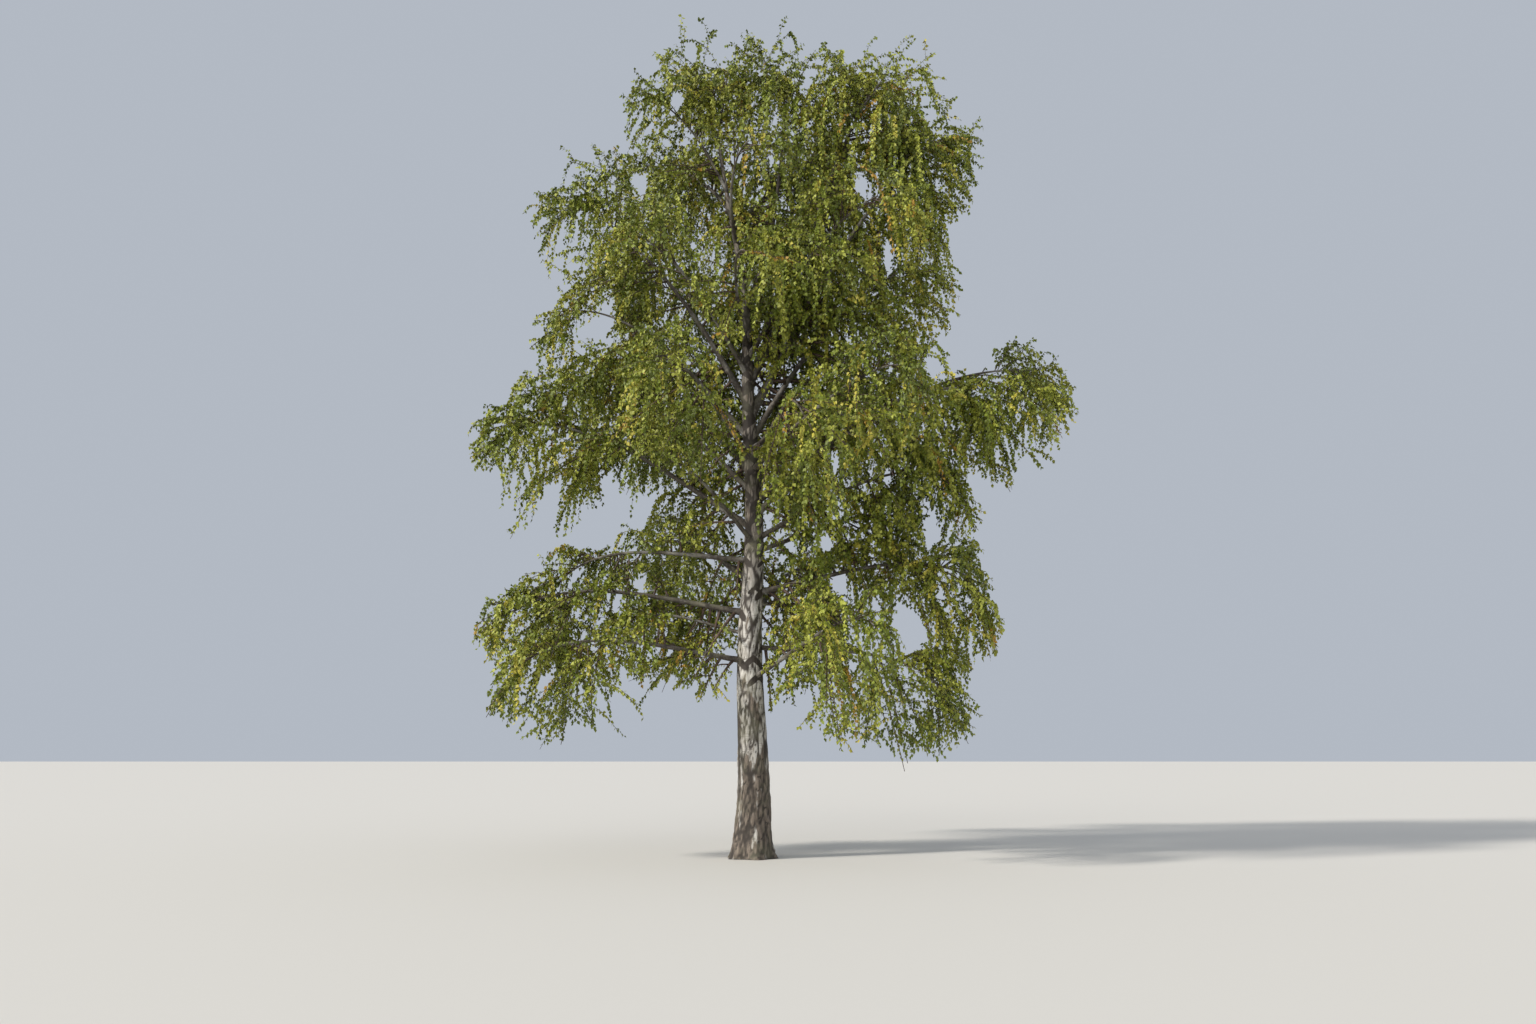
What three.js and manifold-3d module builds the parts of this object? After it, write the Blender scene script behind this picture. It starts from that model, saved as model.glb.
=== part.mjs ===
// A weeping silver birch that stands alone: its trunk, its main boughs and its masses of hanging foliage.
// Millimetres and degrees. X runs to the right, Y away from the viewer and Z up.
// The origin is the middle of the flat cut at the foot of the trunk.

import * as THREE from "three";
import { mergeVertices } from "three/addons/utils/BufferGeometryUtils.js";
import Module from "manifold-3d";

const wasm = await Module();
wasm.setup();

// The trunk: its radius falls from the foot to nothing at the height where it would run out.
const TRUNK_TOP = 12600;
const TRUNK_RUNS_OUT = 15000;
const TRUNK_FOOT_RADIUS = 300;
const TRUNK_TAPER = 1.35;
const FLARE = 90;
const FLARE_HEIGHT = 330;
const BUTTRESS = 42;
const BUTTRESS_HEIGHT = 300;
const BUTTRESSES = 5;
const OVAL = 0.4;
const LEAN = 800;
const LEAN_STARTS = 6000;
const LEAN_ENDS = 13500;
const WAVER = 35;
const WAVER_LENGTH = 4300;
const WAVER_AWAY_TURNS = 0.8;
const TRUNK_RINGS = 16;
const TRUNK_SIDES = 15;
const TRUNK_RINGS_CROWD = 1.5;

// Limbs: each is one curve from the trunk, a bough as far as its foliage and a stem inside it.
const LIMB_RADIUS = 10;
const LIMB_RADIUS_PER_MM = 0.012;
const LIMB_TIP_RADIUS = 13;
const LIMB_TAPER = 1.2;
const COLLAR = 0.35;
const COLLAR_LENGTH = 130;
const ARCH_UP = 14;
const STEEPEST = 62;
const ARCH_OVER = 32;
const FIRST_HANDLE = 0.36;
const LAST_HANDLE = 0.32;
const SIDEWAYS = 0.12;
const NEARLY_UPRIGHT = 0.97;
const STEM_REACH = 0.5;
const STEM_REACH_UPWARD = 0.15;
const STEM_RISE = 0.2;
const STEM_KEEPS_IN = 250;
const BOUGH_ENDS_AT = 0.94;
const CLEAR = 0.3;

// Foliage: twigs leave the stem by the golden angle, and long blades of leaf hang from them.
const GOLDEN_ANGLE = 137.508;
const GOLDEN_SHARE = 0.618034;
const TWIGS = 4;
const TWIGS_START_AT = 0.1;
const TWIGS_END_AT = 0.95;
const TWIG_TURN_SWAY = 20;
const TWIG_SPREAD = 60;
const TWIG_SPREAD_SWAY = 10;
const TWIG_RISE = 0.3;
const TWIG_LENGTH = 0.56;
const TWIG_LENGTH_SWAY = 0.08;
const TWIG_BEND_AT = 0.5;
const TWIG_BEND_RISE = 0.4;
const TWIG_DROOP = 0.14;
const TWIG_RADIUS_SHARE = 0.6;
const TWIG_TIP_RADIUS = 7;
const TWIG_LEAST = 150;
const SPRAYS_ON_STEM = 1;
const SPRAYS_ON_TWIG = 3;
const TIP_SPRAY_AT = 0.98;
const SPRAYS_START_AT = 0.25;
const SPRAYS_END_AT = 0.85;
const TIP_SPRAY = { along: 1, across: 0, down: 0.2 };
const HANGING_SPRAY = { along: 0.3, across: 0.35, down: 1 };
const SPRAY_LONGEST = 1700;
const SPRAY_LEAST = 600;
const SPRAY_LENGTH_SWAY = 0.15;
const SPRAY_SHRINKS = 0.82;
const SPRAY_TURNS = 5;
const SPRAY_WIDTH = 0.62;
const SPRAY_WIDEST_AT = 0.45;
const SPRAY_THICKNESS = 0.018;
const SPACE_SHARE = 1.25;
const SPACE_GAP = 12;
const KEEP_OFF_LIMBS = 4;

const BARK = { white: 0xb9b2a4, grey: 0x6f665a, roughness: 0.85 };
const LEAF = { green: 0x6d7a33, yellow: 0x8f8c35, roughness: 0.7 };

// The crown. `leaves` is the height on the trunk that the limb leaves at, `at` and `size` are the space of
// its foliage, and `bough` says that a bare bough shows between the trunk and that space.
const CROWN = [
  { name: "crown_tip", leaves: 12600, at: [-500, 0, 13800], size: [2100, 2000, 2400], leader: true },
  { name: "top_left", leaves: 11600, at: [-1350, -200, 12800], size: [1800, 2100, 2300] },
  { name: "top_middle", leaves: 9350, at: [650, 300, 13850], size: [2200, 2200, 2300], bough: true },
  { name: "top_right", leaves: 7950, at: [2300, 100, 13650], size: [2300, 2300, 2300], bough: true },
  { name: "right_shoulder", leaves: 7350, at: [3250, 200, 12500], size: [1700, 2200, 2300], bough: true },
  { name: "left_shoulder", leaves: 7550, at: [-2800, 0, 10950], size: [2000, 2200, 2550], bough: true },
  { name: "top_front", leaves: 10600, at: [-100, -1500, 11150], size: [2000, 1800, 2050] },
  { name: "top_back_left", leaves: 11200, at: [-1700, 2100, 12600], size: [2000, 2000, 2000] },
  { name: "top_back_right", leaves: 10900, at: [1500, 2300, 12900], size: [2200, 2000, 2000] },
  { name: "upper_left", leaves: 6950, at: [-2800, 300, 9050], size: [1900, 2200, 2400], bough: true },
  { name: "upper_front_left", leaves: 8100, at: [-1650, -1500, 9600], size: [1900, 2000, 2150] },
  { name: "upper_front", leaves: 8650, at: [-100, -2150, 8850], size: [1850, 2000, 2050] },
  { name: "upper_front_right", leaves: 8400, at: [1850, -1600, 10250], size: [1900, 2000, 2200] },
  { name: "upper_right", leaves: 6900, at: [2650, 300, 9950], size: [1900, 2200, 2300], bough: true },
  { name: "hanging_right", leaves: 5200, at: [2850, -300, 5850], size: [1700, 2200, 1900], bough: true },
  { name: "upper_back_left", leaves: 8250, at: [-2000, 2600, 10500], size: [2300, 2200, 2150], bough: true },
  { name: "upper_back_right", leaves: 7650, at: [950, 2900, 10800], size: [2500, 2200, 2150], bough: true },
  { name: "far_right", leaves: 5850, at: [4450, 0, 7750], size: [2000, 2300, 2400], bough: true },
  { name: "middle_right", leaves: 5600, at: [3000, -800, 7100], size: [2100, 2200, 2800], bough: true },
  { name: "curtain", leaves: 6800, at: [650, -2900, 5750], size: [1500, 1800, 3300] },
  { name: "middle_front_left", leaves: 6600, at: [-1150, -2600, 7000], size: [1800, 2000, 2000] },
  { name: "middle_left", leaves: 6000, at: [-2500, 300, 7600], size: [2000, 2400, 2200] },
  { name: "far_left", leaves: 5400, at: [-3600, 0, 6750], size: [2000, 2400, 2500], bough: true },
  { name: "middle_front_right", leaves: 6400, at: [1950, -2500, 6950], size: [1450, 1800, 2050] },
  { name: "hanging_left", leaves: 5150, at: [-1400, -1600, 5750], size: [1700, 2000, 2100] },
  { name: "middle_back_left", leaves: 6350, at: [-2100, 3350, 8250], size: [2500, 2400, 2250], bough: true },
  { name: "middle_back_right", leaves: 6150, at: [1550, 3500, 8100], size: [2700, 2400, 2350], bough: true },
  { name: "low_right_tip", leaves: 4300, at: [3300, 0, 4050], size: [1500, 2300, 2300], bough: true },
  { name: "low_right", leaves: 5000, at: [2300, 500, 5150], size: [2000, 2400, 2100] },
  { name: "curtain_right", leaves: 3400, at: [2550, -100, 2500], size: [2000, 2400, 1600], bough: true },
  { name: "low_front_right", leaves: 2850, at: [1500, -2150, 3050], size: [1550, 2000, 2150], bough: true },
  { name: "low_inner_right", leaves: 4150, at: [1050, 1100, 3600], size: [1400, 1800, 2050] },
  { name: "low_left_tip", leaves: 3950, at: [-3650, 200, 3650], size: [1750, 2200, 1400], bough: true },
  { name: "low_left_hanging", leaves: 3150, at: [-3200, -700, 2750], size: [1700, 2100, 1500], bough: true },
  { name: "low_left_inner", leaves: 3600, at: [-1600, 100, 3550], size: [1700, 2000, 1300] },
  { name: "low_left", leaves: 4850, at: [-2700, 300, 4300], size: [2100, 2400, 1500] },
  { name: "low_back_left", leaves: 4450, at: [-1600, 3300, 5200], size: [2200, 2400, 2000], bough: true },
  { name: "low_back_right", leaves: 3750, at: [1350, 3400, 4650], size: [2400, 2400, 2100], bough: true },
];

const UP = new THREE.Vector3(0, 0, 1);
const radians = THREE.MathUtils.degToRad;

// A stream of even random numbers from 0 to 1, the same for the same seed.
function seeded(seed) {
  let state = seed >>> 0;
  return () => {
    state = (state + 0x6d2b79f5) >>> 0;
    let mixed = Math.imul(state ^ (state >>> 15), state | 1);
    mixed ^= mixed + Math.imul(mixed ^ (mixed >>> 7), mixed | 61);
    return ((mixed ^ (mixed >>> 14)) >>> 0) / 4294967296;
  };
}

// The point on the trunk's middle line at a height.
function trunkMiddle(height) {
  const leaned = Math.max(0, (height - LEAN_STARTS) / (LEAN_ENDS - LEAN_STARTS));
  const turn = (2 * Math.PI * height) / WAVER_LENGTH;
  return new THREE.Vector3(
    WAVER * Math.sin(turn) - LEAN * leaned * leaned,
    WAVER * (Math.cos(WAVER_AWAY_TURNS * turn) - 1),
    height,
  );
}

// The trunk's radius at a height, on the side that faces the angle, in radians.
function trunkRadius(height, angle) {
  const stem = TRUNK_FOOT_RADIUS * Math.pow(1 - height / TRUNK_RUNS_OUT, TRUNK_TAPER);
  const flare = FLARE * Math.exp(-height / FLARE_HEIGHT);
  const lobes = Math.cos(BUTTRESSES * angle) + OVAL * Math.cos(2 * angle + 1);
  return stem + flare + BUTTRESS * lobes * Math.exp(-height / BUTTRESS_HEIGHT);
}

// A closed solid from a three.js geometry.
function solidFrom(geometry) {
  const bare = geometry.clone();
  bare.deleteAttribute("normal");
  bare.deleteAttribute("uv");
  const merged = mergeVertices(bare, 1e-4);
  const mesh = new wasm.Mesh({
    numProp: 3,
    vertProperties: merged.attributes.position.array,
    triVerts: new Uint32Array(merged.index.array),
  });
  return new wasm.Manifold(mesh);
}

function geometryOf(solid) {
  const mesh = solid.getMesh();
  const geometry = new THREE.BufferGeometry();
  geometry.setAttribute("position", new THREE.BufferAttribute(new Float32Array(mesh.vertProperties), 3));
  geometry.setIndex(new THREE.BufferAttribute(new Uint32Array(mesh.triVerts), 1));
  geometry.computeVertexNormals();
  return geometry;
}

// A turned rod from 0 to 1 up its own Y axis, closed at both ends, whose rings a caller bends and sizes.
function turnedRod(rings, sides) {
  const profile = [new THREE.Vector2(0, 0)];
  for (let ring = 0; ring <= rings; ring++) profile.push(new THREE.Vector2(1, ring / rings));
  profile.push(new THREE.Vector2(0, 1));
  return new THREE.LatheGeometry(profile, sides);
}

// Moves each vertex of a geometry to where a function puts it.
function reshape(geometry, place) {
  const position = geometry.attributes.position;
  const point = new THREE.Vector3();
  for (let i = 0; i < position.count; i++) {
    place(point.fromBufferAttribute(position, i));
    position.setXYZ(i, point.x, point.y, point.z);
  }
  return geometry;
}

// The trunk, with level rings that lie closer together at the foot. `grown` makes it thicker all round.
function trunkSolid(grown = 0) {
  const geometry = reshape(turnedRod(TRUNK_RINGS, TRUNK_SIDES), (point) => {
    const height = TRUNK_TOP * Math.pow(point.y, TRUNK_RINGS_CROWD) + grown * point.y;
    const across = Math.hypot(point.x, point.z);
    const angle = Math.atan2(-point.z, point.x);
    const radius = across * (trunkRadius(height, angle) + grown);
    const middle = trunkMiddle(height);
    point.set(middle.x + radius * Math.cos(angle), middle.y + radius * Math.sin(angle), height);
  });
  return solidFrom(geometry);
}

// A tapering rod: the stretch of a curve between two shares of it, with its radius at each share.
function rodSolid({ curve, from, to, rings, sides, radiusAt }, grown = 0) {
  const chord = curve.getPoint(to).sub(curve.getPoint(from)).normalize();
  const level = Math.abs(chord.z) > NEARLY_UPRIGHT ? new THREE.Vector3(0, 1, 0) : UP;
  const across = new THREE.Vector3().crossVectors(chord, level).normalize();
  const geometry = reshape(turnedRod(rings, sides), (point) => {
    const share = from + (to - from) * point.y;
    const along = curve.getTangent(share);
    const side = across.clone().addScaledVector(along, -across.dot(along)).normalize();
    const over = new THREE.Vector3().crossVectors(side, along);
    const radius = radiusAt(share) + grown;
    const { x, z } = point;
    point.copy(curve.getPoint(share)).addScaledVector(side, radius * x).addScaledVector(over, radius * z);
  });
  return solidFrom(geometry);
}

// How far a space of that size reaches from its middle in a direction.
function reachOf(size, direction) {
  const [x, y, z] = direction.toArray().map((part, axis) => (2 * part) / (SPACE_SHARE * size[axis]));
  return 1 / Math.hypot(x, y, z);
}

// Each space keeps to its own side of a plane between it and every other one.
function spaceOf(row) {
  const middle = new THREE.Vector3(...row.at);
  const walls = CROWN.filter((other) => other !== row).map((other) => {
    const towards = new THREE.Vector3(...other.at).sub(middle);
    const apart = towards.length();
    towards.normalize();
    const reach = reachOf(row.size, towards);
    const otherReach = reachOf(other.size, towards);
    return { towards, distance: (apart * reach) / (reach + otherReach) - SPACE_GAP / 2 };
  });
  return { middle, size: row.size, walls };
}

// Whether a point lies in a space, at least `margin` from its walls.
function holds(space, point, margin = 0) {
  const from = point.clone().sub(space.middle);
  const distance = from.length();
  if (distance > reachOf(space.size, from.clone().normalize()) - margin) return false;
  return space.walls.every((wall) => from.dot(wall.towards) <= wall.distance - margin);
}

// A direction from its turn round Z and its angle above the level.
function heading(turn, above) {
  const across = Math.cos(above);
  return new THREE.Vector3(across * Math.cos(turn), across * Math.sin(turn), Math.sin(above));
}

// Works out a limb's curve, the share of it that lies outside its foliage, and its radius along the curve.
function planLimb(row, index) {
  const random = seeded(index + 1);
  const start = trunkMiddle(row.leaves);
  const space = spaceOf(row);
  const { middle } = space;
  const aim = middle.clone().sub(start).normalize();
  const stemReach = THREE.MathUtils.lerp(STEM_REACH, STEM_REACH_UPWARD, Math.max(0, aim.z));
  const end = middle.clone().addScaledVector(aim, stemReach * reachOf(row.size, aim));
  end.z += STEM_RISE * (1 - aim.z) * row.size[2];
  while (!holds(space, end, STEM_KEEPS_IN)) end.lerp(middle, 0.1);
  const length = end.distanceTo(start);
  const turn = Math.atan2(aim.y, aim.x);
  const above = Math.asin(aim.z);
  const sideways = new THREE.Vector3(-Math.sin(turn), Math.cos(turn), 0);
  const rise = row.leader ? above : Math.min(above + radians(ARCH_UP), radians(STEEPEST));
  const settle = above - radians(ARCH_OVER) * Math.cos(above);
  const curve = new THREE.CubicBezierCurve3(
    start,
    start
      .clone()
      .addScaledVector(heading(turn, rise), FIRST_HANDLE * length)
      .addScaledVector(sideways, SIDEWAYS * length * (2 * random() - 1)),
    end
      .clone()
      .addScaledVector(heading(turn, settle), -LAST_HANDLE * length)
      .addScaledVector(sideways, SIDEWAYS * length * (2 * random() - 1)),
    end,
  );
  const rootRadius = LIMB_RADIUS + LIMB_RADIUS_PER_MM * length;
  const collar = row.leader ? 0 : COLLAR;
  const radiusAt = (share) =>
    LIMB_TIP_RADIUS +
    (rootRadius - LIMB_TIP_RADIUS) * Math.pow(1 - share, LIMB_TAPER) +
    collar * rootRadius * Math.exp((-share * length) / COLLAR_LENGTH);
  const within = (share) => {
    const from = curve.getPoint(share).sub(middle);
    return from.length() < BOUGH_ENDS_AT * reachOf(row.size, from.clone().normalize());
  };
  let enters = 0;
  while (!within(enters)) enters += 0.01;
  return { space, curve, length, enters, radiusAt };
}

// How far a straight line runs inside a space.
function runInside(space, start, direction) {
  const step = 25;
  let length = 0;
  while (holds(space, start.clone().addScaledVector(direction, length + step))) length += step;
  return length;
}

// The point at a share of a rod, on the straight line between the two rings that it lies between.
function onRod(rod, share) {
  const place = Math.min(share * rod.rings, rod.rings - 1e-6);
  const ring = Math.floor(place);
  const at = (count) => rod.curve.getPoint(rod.from + ((rod.to - rod.from) * count) / rod.rings);
  return at(ring).lerp(at(ring + 1), place - ring);
}

// A number from -1 to 1, and the golden share of a whole that a twig or a spray has by its number.
const sway = (random) => 2 * random() - 1;
const goldenShare = (first, count) => (first + count * GOLDEN_SHARE) % 1;

// A twig leaves the stem by the golden angle, rises towards the edge of its space, and droops at its tip.
function planTwig(space, stem, twigIndex, random) {
  const golden = THREE.MathUtils.lerp(TWIGS_START_AT, TWIGS_END_AT, goldenShare(0.3, twigIndex));
  const share = stem.bare + (1 - stem.bare) * golden;
  const start = onRod(stem, share);
  const along = stem.curve.getTangent(stem.from + (stem.to - stem.from) * share);
  const side = new THREE.Vector3().crossVectors(along, UP).normalize();
  side.applyAxisAngle(along, radians(twigIndex * GOLDEN_ANGLE + TWIG_TURN_SWAY * sway(random)));
  const spread = radians(TWIG_SPREAD + TWIG_SPREAD_SWAY * sway(random));
  const out = along.clone().multiplyScalar(Math.cos(spread)).addScaledVector(side, Math.sin(spread));
  out.z = Math.abs(out.z) * THREE.MathUtils.lerp(TWIG_RISE, 1, Math.max(0, along.z));
  out.normalize();
  const length = runInside(space, start, out) * (TWIG_LENGTH + TWIG_LENGTH_SWAY * sway(random));
  const droop = TWIG_DROOP * length;
  const bend = start.clone().addScaledVector(out, TWIG_BEND_AT * length);
  bend.addScaledVector(UP, TWIG_BEND_RISE * droop);
  const end = start.clone().addScaledVector(out, length).addScaledVector(UP, -droop);
  const curve = new THREE.QuadraticBezierCurve3(start, bend, end);
  const rootRadius = TWIG_RADIUS_SHARE * stem.radiusAt(stem.from + (stem.to - stem.from) * share);
  const radiusAt = (at) => rootRadius + (TWIG_TIP_RADIUS - rootRadius) * at;
  return { curve, from: 0, to: 1, rings: 2, sides: 3, radiusAt, length };
}

// A spray hangs from its twig, or carries on from the twig's tip, as far as the edge of the space.
function planSpray(space, twig, sprayIndex, random) {
  const atTip = sprayIndex === 0;
  const golden = THREE.MathUtils.lerp(SPRAYS_START_AT, SPRAYS_END_AT, goldenShare(0.1, sprayIndex));
  const share = atTip ? TIP_SPRAY_AT : golden;
  const weights = atTip ? TIP_SPRAY : HANGING_SPRAY;
  const start = onRod(twig, share);
  const along = twig.curve.getTangent(twig.from + (twig.to - twig.from) * share);
  const side = new THREE.Vector3(-along.y, along.x, 0).normalize();
  const hang = along
    .clone()
    .multiplyScalar(weights.along)
    .addScaledVector(side, weights.across * sway(random))
    .addScaledVector(UP, -weights.down)
    .normalize();
  const facing = new THREE.Vector3(-hang.y, hang.x, 0).normalize();
  facing.applyAxisAngle(hang, Math.PI * random());
  const length = Math.min(SPRAY_LONGEST, runInside(space, start, hang));
  return { start, hang, facing, length: length * (1 - SPRAY_LENGTH_SWAY * random()) };
}

// Whether a spray's widest place lies in a space.
function sprayFits(space, { start, hang, facing, length }) {
  const widest = start.clone().addScaledVector(hang, SPRAY_WIDEST_AT * length);
  const side = (SPRAY_WIDTH * length) / 2;
  return [side, -side].every((reach) => holds(space, widest.clone().addScaledVector(facing, reach)));
}

// A spray's solid: a blade of six faces with a keel, from a root in the twig to its widest place and its tip.
function spraySolid(spray) {
  const over = new THREE.Vector3().crossVectors(spray.facing, spray.hang);
  const thickness = SPRAY_THICKNESS * spray.length;
  const profile = [new THREE.Vector2(0, 0), new THREE.Vector2(1, SPRAY_WIDEST_AT), new THREE.Vector2(0, 1)];
  const geometry = reshape(new THREE.LatheGeometry(profile, 3), (point) => {
    const { x, y, z } = point;
    point
      .copy(spray.start)
      .addScaledVector(spray.hang, y * spray.length)
      .addScaledVector(spray.facing, (x / Math.sqrt(3)) * SPRAY_WIDTH * spray.length)
      .addScaledVector(over, (z / 1.5) * thickness);
  });
  return solidFrom(geometry);
}

// The largest closed body of a fused solid: loose scraps and sealed hollows fall away.
function mainBody(solid) {
  return solid.decompose().reduce((best, body) => (body.volume() > best.volume() ? body : best));
}

// The solid of the largest spray like the planned one that crosses none of the solids given: the spray is
// turned, and then made shorter, until it has room.
function roomySpray(space, spray, solids) {
  for (; spray.length > SPRAY_LEAST; spray.length *= SPRAY_SHRINKS) {
    for (let turned = 0; turned < SPRAY_TURNS; turned++) {
      spray.facing.applyAxisAngle(spray.hang, Math.PI / SPRAY_TURNS);
      if (!sprayFits(space, spray)) continue;
      const solid = spraySolid(spray);
      if (solids.every((other) => solid.intersect(other).isEmpty())) return solid;
    }
  }
  return null;
}

// The stem, twigs and sprays of one mass of foliage, fused. A twig that touches another limb is left out, and
// so is a spray that finds no room.
function foliageSolid(stem, stemSolid, surroundings, random) {
  const { space } = stem;
  const twigs = [];
  const sprays = [];
  const addSprays = (rod, count) => {
    for (let sprayIndex = 0; sprayIndex < count; sprayIndex++) {
      const plan = planSpray(space, rod, sprayIndex, random);
      const spray = roomySpray(space, plan, [surroundings, ...sprays]);
      if (spray) sprays.push(spray);
    }
  };
  addSprays(stem, SPRAYS_ON_STEM);
  for (let twigIndex = 0; twigIndex < TWIGS; twigIndex++) {
    const twig = planTwig(space, stem, twigIndex, random);
    if (twig.length < TWIG_LEAST) continue;
    const twigSolid = rodSolid(twig);
    if (!twigSolid.intersect(surroundings).isEmpty()) continue;
    twigs.push(twigSolid);
    addSprays(twig, SPRAYS_ON_TWIG);
  }
  return mainBody(wasm.Manifold.union([stemSolid, ...twigs, ...sprays]));
}

function namedMesh(name, solid, color, { roughness }) {
  const material = new THREE.MeshStandardMaterial({ color, roughness, metalness: 0 });
  const mesh = new THREE.Mesh(geometryOf(solid), material);
  mesh.name = name;
  return mesh;
}

const tree = new THREE.Group();
tree.name = "silver_birch";
tree.add(namedMesh("trunk", trunkSolid(), BARK.white, BARK));

const trunkWithClearance = trunkSolid(CLEAR);
const limbs = CROWN.map(planLimb);
const boughs = limbs.map((limb) => ({ ...limb, from: 0, to: limb.enters, rings: 6, sides: 5 }));
const stems = limbs.map((limb, index) => {
  if (!CROWN[index].bough) return { ...limb, from: 0, to: 1, rings: 4, sides: 4, bare: limb.enters };
  return { ...limb, from: limb.enters + CLEAR / limb.length, to: 1, rings: 3, sides: 4, bare: 0 };
});
const grownLimbs = limbs.map((limb, index) => {
  const grownStem = rodSolid(stems[index], KEEP_OFF_LIMBS);
  if (!CROWN[index].bough) return [grownStem];
  return [grownStem, rodSolid(boughs[index], KEEP_OFF_LIMBS)];
});

CROWN.forEach((row, index) => {
  if (row.bough) {
    const bough = mainBody(rodSolid(boughs[index]).subtract(trunkWithClearance));
    tree.add(namedMesh(`bough_${row.name}`, bough, BARK.grey, BARK));
  }
  const otherLimbs = grownLimbs.flatMap((grown, other) => (other === index ? grown.slice(1) : grown));
  const surroundings = wasm.Manifold.union([trunkSolid(KEEP_OFF_LIMBS), ...otherLimbs]);
  const stemSolid = rodSolid(stems[index]).subtract(trunkWithClearance);
  const foliage = foliageSolid(stems[index], stemSolid, surroundings, seeded(index + 101));
  const tint = index % 3 === 0 ? LEAF.yellow : LEAF.green;
  tree.add(namedMesh(`foliage_${row.name}`, foliage, tint, LEAF));
});

export default tree;
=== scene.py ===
"""Builds the looks of a weeping silver birch round its solids: bark, boughs, twigs, shoots and leaves.

Metres. X runs to the right, Y away from the viewer and Z up, with the origin at the foot of the trunk.
"""

import collections
import functools
import math

import bmesh
import bpy
import numpy as np
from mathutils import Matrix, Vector, kdtree, noise


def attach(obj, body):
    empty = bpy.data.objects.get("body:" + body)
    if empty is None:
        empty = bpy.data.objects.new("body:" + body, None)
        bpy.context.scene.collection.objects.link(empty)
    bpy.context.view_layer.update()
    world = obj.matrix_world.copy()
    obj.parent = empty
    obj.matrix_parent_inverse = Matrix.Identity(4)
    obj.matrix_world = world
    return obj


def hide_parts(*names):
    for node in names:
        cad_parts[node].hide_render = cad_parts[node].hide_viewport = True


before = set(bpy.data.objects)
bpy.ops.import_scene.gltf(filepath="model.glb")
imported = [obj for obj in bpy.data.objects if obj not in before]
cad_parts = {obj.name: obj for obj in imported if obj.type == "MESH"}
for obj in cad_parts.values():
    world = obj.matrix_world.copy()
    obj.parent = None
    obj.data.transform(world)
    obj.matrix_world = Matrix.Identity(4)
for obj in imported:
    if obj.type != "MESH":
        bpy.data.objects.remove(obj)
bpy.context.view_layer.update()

bl_info = {
    "name": "Silver birch",
    "version": (1, 0, 0),
    "blender": (4, 5, 0),
    "location": "3D View > Sidebar > Silver birch",
    "description": "Grows the bark, boughs, twigs, shoots and leaves of a weeping silver birch",
    "category": "Object",
}

UP = np.array([0.0, 0.0, 1.0])

# The trunk, as the solids have it.
TRUNK_TOP = 12.6
TRUNK_RUNS_OUT = 15.0
TRUNK_TAPER = 1.35
TRUNK_FOOT_RADIUS = 0.3
FLARE = 0.09
FLARE_HEIGHT = 0.33
BUTTRESS = 0.042
BUTTRESS_HEIGHT = 0.3
BUTTRESSES = 5
BUTTRESS_UNEVEN = 0.4
LEAN = 0.8
LEAN_STARTS = 6.0
LEAN_ENDS = 13.5
WAVER = 0.035
WAVER_LENGTH = 4.3
WAVER_AWAY = 0.8

# The limbs, as the solids have them.
LIMB_RADIUS = 0.01
LIMB_RADIUS_PER_METRE = 0.012
LIMB_TIP_RADIUS = 0.013
LIMB_TAPER = 1.2
COLLAR = 0.35
COLLAR_LENGTH = 0.13
ARCH_UP = math.radians(14)
STEEPEST = math.radians(62)
ARCH_OVER = math.radians(32)
FIRST_HANDLE = 0.36
LAST_HANDLE = 0.32
SIDEWAYS = 0.12
STEM_REACH = 0.5
STEM_REACH_UPWARD = 0.15
STEM_RISE = 0.2
STEM_KEEPS_IN = 0.25
STEM_STEP_BACK = 0.1
BOUGH_ENDS_AT = 0.94
CURVE_STEP = 0.01

# The room of each mass: an egg with a tail along the bough. The finer twigs reach on past it by a share.
SPACE_SHARE = 1.25
TAIL_NARROWS = 5
TWIGS_REACH_ON = 1.06
BARE_AT_TRUNK = 0.2

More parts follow.
